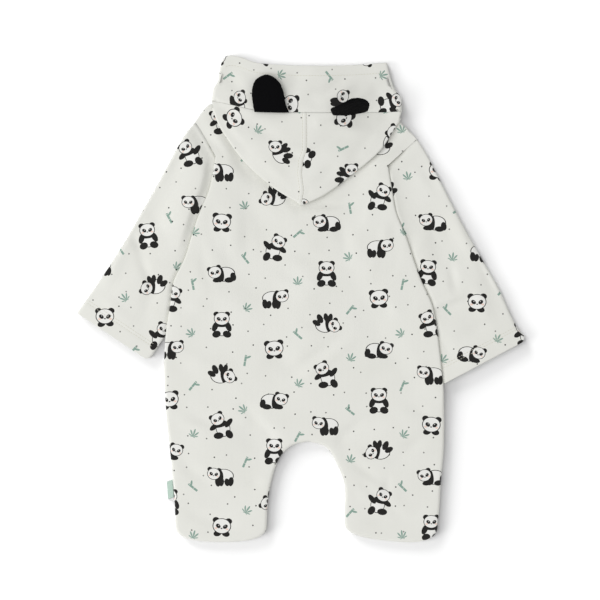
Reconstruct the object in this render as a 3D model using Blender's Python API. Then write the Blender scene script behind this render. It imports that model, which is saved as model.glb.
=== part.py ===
"""A baby's hooded, footed pramsuit with panda ears, laid flat on its front, back upwards.

Metres, +Z up.  The feet point to -Y and the rim of the hood to +Y.  The origin is on the
floor, under the middle of the garment.  Tables and sizes are in millimetres.

Every piece is a wall of cloth.  From the floor upwards lie the two fronts and the lower
halves of the sleeves, the back, the folded half of the hood, its upper half, and the ears.
"""
import math

import bmesh
import bpy
from mathutils import Vector
from mathutils.geometry import delaunay_2d_cdt

MM = 0.001
WALL = 1.6                 # thickness of the cloth
SEAM = 0.3                 # room between two pieces that are sewn together
LOOSE = 0.5                # room between two pieces that lie on each other
FLAT = 4.0                 # height of a sleeve where it is pressed flat
PUFF = 6.8                 # height of the body and the sleeves where they are slack
SHOULDER = 4.8             # height of the body at its shoulder and neck edges
TUCKED = FLAT + SEAM       # height of the underside of the body over a tucked sleeve
STACK = 8.6                # height of the back over a tucked sleeve
ROLL = (0, 30, 60, 90)     # steps in degrees round a rolled edge, from seam to face
FOLD = (90, 60, 30, 0, -30, -60, -90)             # steps in degrees round a whole fold

# ---------------------------------------------------------------- sizes of the body
# Side edges of the body: a row for each level, from the armholes to the ankles.
SIDES = (
    # level, left x, right x
    (145, -95.2, 96.3),
    (120, -100.4, 101.0),
    (95, -111.0, 105.5),
    (70, -119.4, 115.8),
    (45, -127.2, 124.2),
    (20, -139.2, 133.1),
    (-5, -143.0, 144.5),
    (-30, -147.0, 149.8),
    (-60, -149.6, 153.5),
    (-95, -149.3, 157.2),
    (-130, -147.3, 158.4),
    (-165, -143.6, 157.9),
    (-200, -140.3, 154.8),
    (-230, -138.2, 153.1),
)
# Inside edges of the legs, from the crotch to the ankles.
CROTCH = (8.6, -156.9)
INSIDES = (
    # level, left leg x, right leg x
    (-159.3, -4.0, 20.0),
    (-163.5, -12.5, 28.6),
    (-172, -21.0, 35.2),
    (-185, -27.5, 41.7),
    (-200, -31.8, 47.7),
    (-215, -34.8, 49.6),
    (-231, -36.3, 48.7),
)
# Closed ends of the legs: rounded boxes hung below the ankle.
FEET = (
    # middle x, half width, ankle level, depth, tilt
    (-87.2, 50.3, -247.5, 19.9, 0.00),
    (100.2, 51.2, -246.0, 20.6, -0.09),
)
FOOT_ROUND = 2.8           # 2 would be an ellipse, more is squarer
# Shoulders and necklines, from the left shoulder tip to the right one.
SHOULDER_LEFT = ((-115.9, 194.6), (-109.3, 203.6), (-98.5, 209.0), (-80.0, 207.5))
SHOULDER_RIGHT = ((84.0, 203.5), (103.0, 199.5), (117.8, 187.0), (128.3, 175.9))
NECK_SIDE = ((-66.0, 205.5), (68.0, 204.0))
BACK_NECK = ((-36.0, 197.0), (2.0, 192.5), (40.0, 196.0))
THROAT = (0.0, 146.0)

# ---------------------------------------------------------------- sizes of the sleeves
# Edges of each sleeve laid flat: a row for each section from the armhole to the cuff.
SLEEVES = {
    "left": (
        # outer x, outer y, inner x, inner y
        (-115.9, 194.6, -79.6, 84.6),
        (-128.0, 179.2, -87.3, 69.2),
        (-142.3, 153.9, -97.2, 49.4),
        (-157.7, 125.3, -110.4, 27.4),
        (-176.4, 92.3, -123.6, 4.3),
        (-196.2, 58.2, -136.8, -19.9),
        (-216.0, 27.4, -148.9, -40.8),
        (-233.8, 1.6, -157.6, -54.2),
        (-245.6, -15.6, -167.0, -68.2),
    ),
    "right": (
        (128.3, 175.9, 72.2, 67.0),
        (138.2, 160.5, 81.0, 49.4),
        (150.3, 137.4, 90.9, 29.6),
        (163.5, 111.0, 101.9, 7.6),
        (180.0, 79.1, 114.0, -15.5),
        (198.7, 46.1, 125.0, -37.5),
        (217.4, 13.1, 136.0, -58.4),
        (236.4, -27.4, 149.0, -80.0),
        (245.8, -46.4, 156.0, -94.4),
    ),
}
ARMHOLE_BOW = {"left": 11.0, "right": 16.0}       # how far an armhole bows to the body
ARMHOLE_SHOWN = {"left": 0.37, "right": 0.34}     # share of it that the body leaves clear
ARMHOLE_SKEW = 0.6                                # below 1 the bow sits near the shoulder
# Shares of a sleeve's width at which its upper and lower faces are shaped.
ACROSS_TOP = (0.08, 0.18, 0.29, 0.40, 0.51, 0.62, 0.73, 0.84, 0.93)
ACROSS_UNDER = (0.88, 0.66, 0.42, 0.18)

# ---------------------------------------------------------------- sizes of the lap
LAP = 11.0                 # half of the width in which the two fronts overlap
LAP_END = -116.0           # level at which the lap starts to narrow
LAP_TAPER = 18.0           # length over which it narrows to nothing
STUD_ROOM = 1.2            # rise of the outer front over the stud caps
STUD_RADIUS = 4.8
STUD_HEIGHT = 0.9
STUD_LEVELS = [118 - 45 * step for step in range(6)]
LAP_RISE = STUD_ROOM + WALL + SEAM                # rise of the inner front over the outer

# ---------------------------------------------------------------- sizes of the hood
RIM = ((-85.7, 264.6), (-78.5, 267.8), (-67.0, 266.4), (-48.8, 260.0), (-24.6, 257.7),
       (4.0, 256.6), (32.6, 256.5), (56.8, 257.2), (76.6, 258.4), (95.3, 259.9))
EAR_SEAM = ((-97.5, 217.6), (-87.3, 215.5), (-74.0, 212.8), (-53.2, 208.1), (-24.6, 205.2),
            (4.3, 204.8), (34.8, 204.7), (63.4, 204.7), (89.8, 204.9), (111.5, 206.0))
SIDE_FOLD_LEFT = ((-85.7, 264.6), (-88.9, 252.0), (-90.5, 240.0), (-95.6, 231.5), (-97.5, 217.6))
SIDE_FOLD_RIGHT = ((95.3, 259.9), (98.2, 247.5), (103.5, 231.0), (110.8, 221.5), (111.5, 206.0))
# Where the band turns under: its rim and its seam, from the side fold to the throat.
UNDER_RIM_LEFT = ((-85.7, 264.6), (-62.0, 240.0), (-36.0, 205.0), (-16.0, 174.0), (-2.0, 156.0))
UNDER_SEAM_LEFT = ((-97.5, 217.6), (-80.0, 212.5), (-58.0, 196.0), (-34.0, 166.0), (-12.0, 143.0))
UNDER_RIM_RIGHT = ((95.3, 259.9), (68.0, 238.0), (40.0, 204.0), (18.0, 174.0), (3.0, 156.0))
UNDER_SEAM_RIGHT = ((111.5, 206.0), (87.0, 208.0), (60.0, 195.0), (36.0, 166.0), (13.0, 143.0))
# The pointed fold that lies on the back, and the centre seam that runs down to it.
POINT_LEFT = ((-97.0, 209.5), (-91.2, 194.0), (-82.5, 178.5), (-60.5, 149.0), (-30.2, 122.4),
              (-2.0, 102.6))
POINT_RIGHT = ((110.6, 197.6), (100.2, 181.4), (86.0, 161.0), (56.0, 135.8), (27.0, 114.8),
               (-2.0, 102.6))
CENTRE_SEAM = ((205.0, 4.3), (183.6, 4.3), (163.0, 4.6), (149.0, 0.8), (133.0, -0.2),
               (117.0, 2.4), (102.6, -2.0))
NECK_END_LEFT = ((-90.5, 208.3), (-64.0, 203.5), (-34.0, 194.5), (2.0, 190.5))
NECK_END_RIGHT = ((103.5, 200.8), (70.0, 201.5), (38.0, 193.5), (2.0, 190.5))
HOOD_FOLD = 5.0            # height of the two layers at the pointed fold
HOOD_PUFF = 1.2            # how much the upper layer rises inside its folds
NECK_LEVEL = 203.0         # level above which the hood lies beyond the body
RIM_LEVEL = 262.0
RIM_HEIGHT = 4.8           # height of the band at its rim
HOOD_CORNER = 10.2         # height of the side fold where it meets the shoulder

# ---------------------------------------------------------------- sizes of the trims
EAR_HEIGHT = 41.0
EAR_THICK = 6.0
# Edges of each ear: share of its height, and distances from the middle of its base.
EAR_EDGES = {
    "left": ((0.0, -19.0, 19.0), (0.25, -21.0, 15.0), (0.57, -22.0, 12.4), (0.80, -19.8, 8.0),
             (0.93, -15.0, 2.6), (1.0, -9.0, -3.6)),
    "right": ((0.0, -19.5, 19.5), (0.25, -20.8, 20.8), (0.50, -20.6, 20.6), (0.75, -16.8, 16.8),
              (0.92, -10.2, 10.2), (1.0, -3.6, 3.6)),
}
# Each ear: middle of its base, turn about Z and lean back from upright, in degrees.
EARS = {
    "left": {"base": (-31.5, 204.6, 14.85), "turn": -1.0, "lean": 93.0},
    "right": {"base": (55.0, 204.5, 12.5), "turn": 8.0, "lean": 13.0},
}
# The label: where it leaves the side seam, how far it reaches out, and how far it droops.
LABEL_ENDS = ((-140.7, -198.9), (-139.4, -218.2))
LABEL_REACH = (-6.4, -2.6)
LABEL_DROOP = 3.0
LABEL_WALL = 0.7

# Soft folds of the back and sleeves: ridges where the depth is positive, else troughs.
FOLDS = (
    # x, y, to x, to y, width, depth
    (-78, 128, -28, 60, 15, -0.8),
    (88, 120, 40, 66, 14, -0.7),
    (-118, 20, -60, -8, 16, 0.7),
    (112, -8, 60, -30, 16, -0.7),
    (-20, -170, -86, -132, 14, -0.9),
    (30, -168, 96, -126, 14, -0.8),
    (48, -190, 108, -232, 12, 0.7),
    (-40, -206, -100, -222, 12, -0.7),
    (0, 60, 10, -90, 22, 0.6),
)
SLEEVE_FOLDS = (
    (-140, 120, -178, 66, 12, -0.8),
    (-150, 40, -206, 4, 12, 0.7),
    (150, 96, 176, 44, 12, -0.8),
    (137, -18, 187, -1, 9, -1.0),
    (118, 150, 136, 128, 8, 0.8),
)


def smooth(low, high, value):
    """Rise softly from 0 at low to 1 at high."""
    share = min(1.0, max(0.0, (value - low) / (high - low)))
    return share * share * (3 - 2 * share)


def mix(start, end, share):
    """Point or number between start and end."""
    return start + (end - start) * share


def along(points, share):
    """Point at a share of the length of a smooth line through points."""
    return spread(points, [share])[0]


def spread(points, shares):
    """Points at shares of the length of a smooth line through points."""
    line = spline(points, 8)
    lengths = [0.0]
    for start, end in zip(line, line[1:]):
        lengths.append(lengths[-1] + (end - start).length)
    found = []
    for share in shares:
        target = share * lengths[-1]
        index = next((i for i in range(1, len(line)) if lengths[i] >= target - 1e-9), len(line) - 1)
        step = (target - lengths[index - 1]) / (lengths[index] - lengths[index - 1])
        found.append(mix(line[index - 1], line[index], min(1.0, max(0.0, step))))
    return found


def spline(points, steps):
    """Catmull-Rom line through points, with the given steps between two of them."""
    knots = [Vector(point) for point in points]
    knots = [2 * knots[0] - knots[1]] + knots + [2 * knots[-1] - knots[-2]]
    line = []
    for before, start, end, after in zip(knots, knots[1:], knots[2:], knots[3:]):
        for step in range(steps):
            t = step / steps
            line.append(0.5 * (2 * start + (end - before) * t
                               + (2 * before - 5 * start + 4 * end - after) * t ** 2
                               + (3 * start - before - 3 * end + after) * t ** 3))
    return line + [knots[-2]]


def resample(points, spacing):
    """Points at even steps of about spacing on a smooth line through points."""
    line = spline(points, 8)
    length = sum((end - start).length for start, end in zip(line, line[1:]))
    count = max(1, round(length / spacing))
    return spread(points, [step / count for step in range(count + 1)])


def to_line(x, y, line):
    """Distance from a place to an open line of points."""
    best = 1e9
    for start, end in zip(line, line[1:]):
        run_x, run_y = end[0] - start[0], end[1] - start[1]
        square = run_x * run_x + run_y * run_y
        share = ((x - start[0]) * run_x + (y - start[1]) * run_y) / square if square else 0.0
        share = min(1.0, max(0.0, share))
        best = min(best, math.hypot(x - start[0] - share * run_x, y - start[1] - share * run_y))
    return best


def is_inside(x, y, loop):
    """Whether a place lies inside a closed outline."""
    inside = False
    for start, end in zip(loop, loop[1:] + loop[:1]):
        if (start[1] > y) != (end[1] > y):
            if x < start[0] + (y - start[1]) * (end[0] - start[0]) / (end[1] - start[1]):
                inside = not inside
    return inside


def outside_by(x, y, loop):
    """Distance outside a closed outline, below zero inside it."""
    distance = to_line(x, y, loop + loop[:1])
    return -distance if is_inside(x, y, loop) else distance


# ---------------------------------------------------------------- shared outlines
def armhole(side, share, gap=0.0):
    """Point on an armhole, from the shoulder tip to the underarm, moved to the body by gap."""
    row = SLEEVES[side][0]
    start, end = Vector(row[:2]), Vector(row[2:])
    across = (end - start).normalized()
    toward = Vector((-across.y, across.x)) if side == "left" else Vector((across.y, -across.x))
    bow = ARMHOLE_BOW[side] * math.sin(math.pi * share ** ARMHOLE_SKEW)
    return mix(start, end, share) + toward * (bow + gap)


def foot(index, share):
    """Point round the closed end of a leg, from its outer ankle to its inner one."""
    middle, half, ankle, depth, tilt = FEET[index]
    angle = math.pi * (1 - share) if index == 0 else math.pi * share
    cosine, sine = math.cos(angle), math.sin(angle)
    x = half * math.copysign(abs(cosine) ** (2 / FOOT_ROUND), cosine)
    drop = depth * abs(sine) ** (2 / FOOT_ROUND)
    return Vector((middle + x, ankle - drop + tilt * x * drop / depth))


def side_edge(side, spacing):
    """Body edge from the armhole to the crotch, down one side and round the foot."""
    column = 1 if side == "left" else 2
    index = 0 if side == "left" else 1
    start = armhole(side, ARMHOLE_SHOWN[side], 2 * SEAM)
    outer = [start] + [(row[0] and row[column], row[0]) for row in SIDES]
    inner = [(row[column], row[0]) for row in reversed(INSIDES)] + [CROTCH]
    ankle_out, ankle_in = foot(index, 0.0), foot(index, 1.0)
    leg = resample(outer + [ankle_out], spacing)
    toe = [foot(index, step / 12) for step in range(1, 12)]
    return leg + toe + resample([ankle_in] + inner, spacing * 0.8)


def shown_armhole(side):
    """Body edge along the part of an armhole that shows, from the shoulder tip."""
    shares = [share for share in ACROSS_TOP if share < ARMHOLE_SHOWN[side] - 0.04]
    return [armhole(side, share, 2 * SEAM) for share in [0.0] + shares + [ARMHOLE_SHOWN[side]]]


EDGE = {side: side_edge(side, 13.0) for side in ("left", "right")}
TOP_LINE = [Vector(point) for point in
            SHOULDER_LEFT + NECK_SIDE[:1] + BACK_NECK + NECK_SIDE[1:] + SHOULDER_RIGHT]
BODY = (list(reversed(EDGE["left"])) + list(reversed(shown_armhole("left")))[1:]
        + TOP_LINE[1:-1] + shown_armhole("right")[:-1] + EDGE["right"][:-1])
SLEEVE_PLAN = {}
for _side in SLEEVES:
    _rows = SLEEVES[_side]
    SLEEVE_PLAN[_side] = ([Vector(row[:2]) for row in _rows]
                          + [Vector(row[2:]) for row in reversed(_rows)]
                          + [armhole(_side, share) for share in (0.85, 0.7, 0.55, 0.4, 0.3, 0.2, 0.1)])
CENTRE_FRONT = (Vector(THROAT), Vector(CROTCH))


def centre_x(y):
    """Middle of the front opening at a level."""
    return mix(THROAT[0], CROTCH[0], (THROAT[1] - y) / (THROAT[1] - CROTCH[1]))


# ---------------------------------------------------------------- heights of the body
def over_sleeve(x, y, near, far):
    """1 over a tucked sleeve, falling to 0 between two distances from it."""
    best = 0.0
    for side, start in (("left", 157.0), ("right", 150.0)):
        share = 1 - smooth(near, far, outside_by(x, y, SLEEVE_PLAN[side]))
        best = max(best, share * (1 - smooth(start, start + 22.0, y)))
    return best


def body_bottom(x, y):
    """Underside of the fronts: on the floor, or over a tucked sleeve."""
    return TUCKED * over_sleeve(x, y, 4.0, 28.0)


def folds_at(x, y, folds):
    """Sum of the soft ridges and troughs at a place."""
    total = 0.0
    for x0, y0, x1, y1, width, depth in folds:
        run = Vector((x1 - x0, y1 - y0))
        share = min(1.0, max(0.0, Vector((x - x0, y - y0)).dot(run) / run.length_squared))
        gap = math.hypot(x - x0 - share * run.x, y - y0 - share * run.y)
        total += depth * math.exp(-(gap / width) ** 2) * (0.35 + 0.65 * math.sin(math.pi * share))
    return total


def body_top(x, y):
    """Upper face of the back."""
    bottom = body_bottom(x, y)
    height = PUFF + (STACK - PUFF) * over_sleeve(x, y, 8.0, 36.0)
    height += folds_at(x, y, FOLDS) * smooth(4.0, 26.0, -outside_by(x, y, BODY))
    height = mix(SHOULDER, height, smooth(0.0, 45.0, to_line(x, y, TOP_LINE)))
    seam = min(to_line(x, y, shown_armhole(side)) for side in SLEEVES)
    height = mix(FLAT, height, smooth(0.0, 14.0, seam))
    floor = bottom + 2 * WALL + 0.8
    return max(height, floor)


def body_middle(x, y):
    """Height of the side seam between the back and a front."""
    return (body_bottom(x, y) + body_top(x, y)) / 2


# ---------------------------------------------------------------- making walls of cloth
def add_material(name, colour, roughness):
    """Cloth or metal with a plain colour."""
    material = bpy.data.materials.new(name)
    material.use_nodes = True
    shader = material.node_tree.nodes["Principled BSDF"]
    shader.inputs["Base Color"].default_value = (*colour, 1.0)
    shader.inputs["Roughness"].default_value = roughness
    return material


def add_object(name, points, faces, material):
    """Closed mesh object from points in millimetres, faces turned outwards."""
    shape = bmesh.new()
    verts = [shape.verts.new(Vector(point) * MM) for point in points]
    for face in faces:
        shape.faces.new([verts[index] for index in face])
    bmesh.ops.recalc_face_normals(shape, faces=shape.faces)
    mesh = bpy.data.meshes.new(name)
    shape.to_mesh(mesh)
    shape.free()
    mesh.materials.append(material)
    mesh.shade_smooth()
    item = bpy.data.objects.new(name, mesh)
    bpy.context.scene.collection.objects.link(item)
    return item


def slope(height, x, y):
    """Unit normal, pointing up, of a height function."""
    step = 1.0
    rise_x = (height(x + step, y) - height(x - step, y)) / (2 * step)
    rise_y = (height(x, y + step) - height(x, y - step)) / (2 * step)
    return Vector((-rise_x, -rise_y, 1.0)).normalized()


def add_panel(name, loop, rolled, outer, middle, facing, spacing, guides, material):
    """Panel of cloth inside a closed outline.

    loop is the outline.  rolled says how far each of its points rolls
    round to the seam, from 0, cut flat, to 1.  outer gives the height of the outside face,
    middle the height of the seam, and facing is 1 for a back and -1 for a front.  guides
    are lines that the mesh follows.
    """
    area = sum(a.x * b.y - b.x * a.y for a, b in zip(loop, loop[1:] + loop[:1]))
    if area < 0:
        loop, rolled = loop[::-1], rolled[::-1]
    count = len(loop)
    rings = []
    for angle in ROLL:
        ring = []
        for index, point in enumerate(loop):
            before, after = loop[index - 1], loop[(index + 1) % count]
            first, second = (point - before).normalized(), (after - point).normalized()
            out = Vector((first.y + second.y, -first.x - second.x)).normalized()
            sharp = max(0.55, out.dot(Vector((first.y, -first.x))))
            seam = middle(point.x, point.y)
            radius = abs(outer(point.x, point.y) - seam)
            inset = radius * (1 - math.cos(math.radians(angle))) / sharp
            if angle == 90:
                inset = max(inset, 2.4)
            place = point - out * inset
            turn = math.radians(mix(90, angle, rolled[index]))
            reach = abs(outer(place.x, place.y) - seam) - SEAM / 2
            height = seam + facing * (SEAM / 2 + reach * math.sin(turn))
            normal = Vector((out.x * math.cos(turn), out.y * math.cos(turn),
                             facing * math.sin(turn)))
            ring.append((Vector((place.x, place.y, height)), normal))
        rings.append(ring)
    inner_loop = [point.xy for point, _ in rings[-1]]
    margin = spacing * 0.55
    fixed, fixed_edges = list(inner_loop), []
    for guide in guides:
        last = None
        for place in guide:
            keep = outside_by(place.x, place.y, inner_loop) < -2.0
            if keep:
                fixed.append(place)
                if last is not None:
                    fixed_edges.append((last, len(fixed) - 1))
            last = len(fixed) - 1 if keep else None
    low_x, high_x = min(p.x for p in loop), max(p.x for p in loop)
    low_y, high_y = min(p.y for p in loop), max(p.y for p in loop)
    scatter = []
    row = 0
    y = low_y
    while y < high_y:
        x = low_x + (spacing / 2 if row % 2 else 0.0)
        while x < high_x:
            clear = outside_by(x, y, inner_loop) < -margin
            if clear and all(math.hypot(p.x - x, p.y - y) > margin for p in fixed[count:]):
                scatter.append(Vector((x, y)))
            x += spacing
        y += spacing * math.sqrt(3) / 2
        row += 1
    flat_points, _, triangles, _, _, _ = delaunay_2d_cdt(
        fixed + scatter, fixed_edges, [list(range(count))], 1, 1e-4)
    layers = [[], []]
    for ring in rings[:-1]:
        for point, normal in ring:
            layers[0].append(point)
            layers[1].append(point - normal * WALL)
    start = len(layers[0])
    for index, place in enumerate(flat_points):
        if index < count:
            point, normal = rings[-1][index]
        else:
            point = Vector((place.x, place.y, outer(place.x, place.y)))
            normal = slope(outer, place.x, place.y) * facing
        layers[0].append(point)
        layers[1].append(point - normal * WALL)
    faces = []
    for level in range(len(rings) - 1):
        for index in range(count):
            after = (index + 1) % count
            base, inward = level * count, (level + 1) * count
            faces.append((base + index, base + after, inward + after, inward + index))
    faces += [tuple(start + index for index in triangle) for triangle in triangles]
    size = len(layers[0])
    whole = list(faces) + [tuple(size + index for index in reversed(face)) for face in faces]
    whole += [(index, size + index, size + (index + 1) % count, (index + 1) % count)
              for index in range(count)]
    return add_object(name, layers[0] + layers[1], whole, material)


def add_wall(name, make_grid, wall, closed, material):
    """Wall of cloth between two grids of points, row by row.

    make_grid gives the grid of the outside for 0, and of the inside for the wall's
    thickness.  closed joins the last column to the first.
    """
    grids = make_grid(0.0), make_grid(wall)
    rows, columns = len(grids[0]), len(grids[0][0])
    points = [point for grid in grids for row in grid for point in row]
    size = rows * columns
    spans = columns if closed else columns - 1
    faces = []
    for i in range(rows - 1):
        for j in range(spans):
            k = (j + 1) % columns
            face = (i * columns + j, i * columns + k, (i + 1) * columns + k, (i + 1) * columns + j)
            faces.append(face)
            faces.append(tuple(size + index for index in reversed(face)))
    for i in (0, rows - 1):
        for j in range(spans):
            a, b = i * columns + j, i * columns + (j + 1) % columns
            faces.append((a, b, size + b, size + a))
    if not closed:
        for j in (0, columns - 1):
            for i in range(rows - 1):
                a, b = i * columns + j, (i + 1) * columns + j
                faces.append((a, b, size + b, size + a))
    return add_object(name, points, faces, material)


def fold_round(centre, out, radius, middle, angles):
    """Points round a fold: out is its level direction, middle the height of its axis."""
    return [Vector((centre.x + out.x * radius * math.cos(math.radians(angle)),
                    centre.y + out.y * radius * math.cos(math.radians(angle)),
                    middle + radius * math.sin(math.radians(angle)))) for angle in angles]


# ---------------------------------------------------------------- the body
cotton = add_material("cotton_interlock", (0.80, 0.80, 0.77), 0.9)
fleece = add_material("black_fleece", (0.006, 0.006, 0.006), 0.95)
steel = add_material("painted_steel", (0.42, 0.52, 0.47), 0.45)
sage_tape = add_material("woven_tape", (0.50, 0.60, 0.53), 0.8)


def rolled_shares(loop, cut_lines):
    """How far each outline point rolls: 0 where it lies on a line that is cut flat."""
    return [smooth(0.5, 9.0, min(to_line(p.x, p.y, line) for line in cut_lines)) for p in loop]


def tuck_guide(side):
    """Line just beyond the tucked edge of a sleeve."""
    rows = SLEEVES[side]
    sign = 1 if side == "left" else -1
    line = [Vector(row[2:]) for row in rows]
    start = [armhole(side, share) for share in (0.4, 0.55, 0.7, 0.85)]
    path = start + line
    moved = []
    for index, point in enumerate(path):
        before, after = path[max(index - 1, 0)], path[min(index + 1, len(path) - 1)]
        run = (after - before).normalized()
        moved.append(point + Vector((-run.y, run.x)) * sign * 3.6)
    return resample(moved, 15.0)


def make_back():
    """Back of the body with the backs of both legs, cut in one."""
    neck = [NECK_SIDE[0], *BACK_NECK, NECK_SIDE[1]]
    cuts = [shown_armhole("left"), shown_armhole("right"), [Vector(p) for p in neck]]
    add_panel("back", BODY, rolled_shares(BODY, cuts), body_top, body_middle, 1, 17.0,
              [], cotton)


def lap_share(y):
    """How wide the lap is at a level, from 0, closed edge to edge, to 1."""
    return smooth(LAP_END - LAP_TAPER, LAP_END, y)


def lap_lift(y):
    """How far the lap lifts at a level, from 0 to 1."""
    return smooth(CROTCH[1] + 1, LAP_END - LAP_TAPER - 4, y)


def front_bottom(side):
    """Height of the underside of one front."""
    def height(x, y):
        beyond = x - centre_x(y)
        if side == "left":
            lift = STUD_ROOM * smooth(-LAP - 11, -LAP - 2, beyond)
        else:
            lift = LAP_RISE * (1 - smooth(LAP + 2, LAP + 16, beyond))
        return body_bottom(x, y) + lift * lap_lift(y)
    return height


def make_front(side):
    """One front with the front of its leg, from the shoulder to the foot."""
    sign = 1 if side == "left" else -1
    edge = EDGE[side]
    straight = THROAT[1] - 3 - LAP_END
    levels = [THROAT[1] - 3 - straight * step / 16 for step in range(17)]
    levels += [LAP_END - LAP_TAPER * step / 5 for step in range(1, 6)]
    levels += [LAP_END - LAP_TAPER - 5, LAP_END - LAP_TAPER - 13]
    opening = [Vector((centre_x(y) + sign * (LAP * lap_share(y) - (SEAM / 2) * (1 - lap_share(y))), y))
               for y in levels]
    if side == "left":
        shoulder = [Vector(p) for p in SHOULDER_LEFT]
        seam = spread(UNDER_SEAM_LEFT, (0.42, 0.62, 0.82, 1.0))
    else:
        shoulder = [Vector(p) for p in reversed(SHOULDER_RIGHT)]
        seam = spread(UNDER_SEAM_RIGHT, (0.42, 0.62, 0.82, 1.0))
    neck = [p - Vector((sign * 0.7, 1.2)) for p in seam]
    loop = (list(reversed(edge)) + list(reversed(shown_armhole(side)))[1:] + shoulder[1:]
            + neck + opening)
    cuts = [shown_armhole(side), neck + opening]
    shares = rolled_shares(loop, cuts)
    bends = (-LAP - 2, -LAP - 11) if side == "left" else (LAP + 2, LAP + 16)
    guides = [tuck_guide(side)]
    guides += [[Vector((centre_x(y) + bend, y)) for y in levels[:-1]] for bend in bends]
    add_panel("front_" + side, loop, shares, front_bottom(side), body_middle, -1, 24.0,
              guides, cotton)


def make_studs():
    """Caps of the press studs, under the lap of the fronts."""
    for number, level in enumerate(STUD_LEVELS, 1):
        shape = bmesh.new()
        bmesh.ops.create_cone(shape, cap_ends=True, segments=16, radius1=STUD_RADIUS * MM,
                              radius2=STUD_RADIUS * 0.86 * MM, depth=STUD_HEIGHT * MM)
        mesh = bpy.data.meshes.new("press_stud_%d" % number)
        shape.to_mesh(mesh)
        shape.free()
        mesh.materials.append(steel)
        item = bpy.data.objects.new(mesh.name, mesh)
        item.location = Vector((centre_x(level), level, STUD_HEIGHT / 2)) * MM
        bpy.context.scene.collection.objects.link(item)


# ---------------------------------------------------------------- the sleeves
def sleeve_top(x, y, row_share, share):
    """Upper face of a sleeve, pressed flat at its armhole and under the body."""
    free = smooth(6.0, 26.0, outside_by(x, y, BODY))
    rise = (PUFF - FLAT) * smooth(-0.02, 0.22, row_share) * (0.75 + 0.25 * math.sin(math.pi * share))
    height = FLAT + free * rise
    return max(FLAT, height + folds_at(x, y, SLEEVE_FOLDS) * free)


def make_sleeve(side):
    """One sleeve: a tube laid flat, its inner edge tucked under the body."""
    rows = SLEEVES[side]
    outers = spline([row[:2] for row in rows], 2)
    inners = spline([row[2:] for row in rows], 2)
    last = len(outers) - 1

    def make_grid(inset):
        grid = []
        for number, (outer, inner) in enumerate(zip(outers, inners)):
            down = number / last
            bend = 1 - smooth(0.0, 0.34, down)

            def place(share):
                bow = armhole(side, share) - mix(outers[0], inners[0], share)
                return mix(outer, inner, share) + bow * bend

            across = (inner - outer).normalized()
            radius = sleeve_top(outer.x, outer.y, down, 0.0) / 2
            row = fold_round(outer + across * radius, -across, radius - inset, radius, FOLD[::-1])
            for share in ACROSS_TOP:
                spot = place(share)
                row.append(Vector((*spot, sleeve_top(*spot, down, share) - inset)))
            radius = sleeve_top(inner.x, inner.y, down, 1.0) / 2
            row += fold_round(inner - across * radius, across, radius - inset, radius, FOLD)
            row += [Vector((*place(share), inset)) for share in ACROSS_UNDER]
            grid.append(row)
        return grid

    add_wall("sleeve_" + side, make_grid, WALL, True, cotton)


# ---------------------------------------------------------------- the hood
def hood_top(x, y):
    """Upper face of the hood where it lies on the back, and of its band."""
    inside = smooth(2.0, 26.0, min(to_line(x, y, POINT_LEFT), to_line(x, y, POINT_RIGHT)))
    level = min(y, NECK_LEVEL)
    on_back = body_top(x, level) + LOOSE + HOOD_FOLD + HOOD_PUFF * inside
    if y <= NECK_LEVEL:
        return on_back
    up = smooth(NECK_LEVEL, RIM_LEVEL, y)
    edge = mix(HOOD_CORNER, RIM_HEIGHT, up)
    middle = mix(on_back, RIM_HEIGHT, up)
    to_side = min(to_line(x, y, SIDE_FOLD_LEFT), to_line(x, y, SIDE_FOLD_RIGHT))
    return mix(min(edge, middle), middle, smooth(2.0, 34.0, to_side))


def centre_seam_x(y):
    """Middle of the hood's centre seam at a level."""
    rows = CENTRE_SEAM
    for (high, x_high), (low, x_low) in zip(rows, rows[1:]):
        if y >= low:
            return mix(x_low, x_high, smooth(low, high, y))
    return rows[-1][1]


def make_hood_side(side):
    """Half of the hood behind the ears, folded so that its lower half lies hidden."""
    sign = 1 if side == "left" else -1
    if side == "left":
        seam_line, point_line, neck_line = EAR_SEAM[:6], POINT_LEFT, NECK_END_LEFT
    else:
        seam_line, point_line, neck_line = EAR_SEAM[5:][::-1], POINT_RIGHT, NECK_END_RIGHT
    shares = (0.0, 0.07, 0.16, 0.28, 0.41, 0.54, 0.67, 0.79, 0.89, 0.96, 1.0)
    tops, points, necks = (spread(line, shares) for line in (seam_line, point_line, neck_line))

    def make_grid(inset):
        grid = []
        for index, share in enumerate(shares):
            top, point, neck = tops[index] - Vector((0, SEAM)), points[index], necks[index]
            after, before = points[min(index + 1, len(points) - 1)], points[max(index - 1, 0)]
            run = (after - before).normalized() * sign
            out = mix(Vector((run.y, -run.x)), Vector((0, -1)), smooth(0.82, 1.0, share)).normalized()
            fold = point - out * HOOD_FOLD / 2
            base = body_top(*fold) + LOOSE
            radius = (hood_top(*fold) - base) / 2
            column = []
            for level in (0.0, 0.08, 0.2, 0.35, 0.5, 0.65, 0.8, 0.92):
                spot = mix(top, fold, level)
                column.append(Vector((*spot, hood_top(*spot) - inset)))
            column += fold_round(fold, out, radius - inset, base + radius, FOLD)
            for level in (0.1, 0.28, 0.5, 0.75, 1.0):
                spot = mix(fold, neck, level)
                column.append(Vector((*spot, body_top(*spot) + LOOSE + inset)))
            if share == 1.0:
                for spot in column:
                    spot.x = centre_seam_x(spot.y) - sign * SEAM / 2
            grid.append(column)
        return grid

    add_wall("hood_side_" + side, make_grid, WALL, False, cotton)


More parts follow.
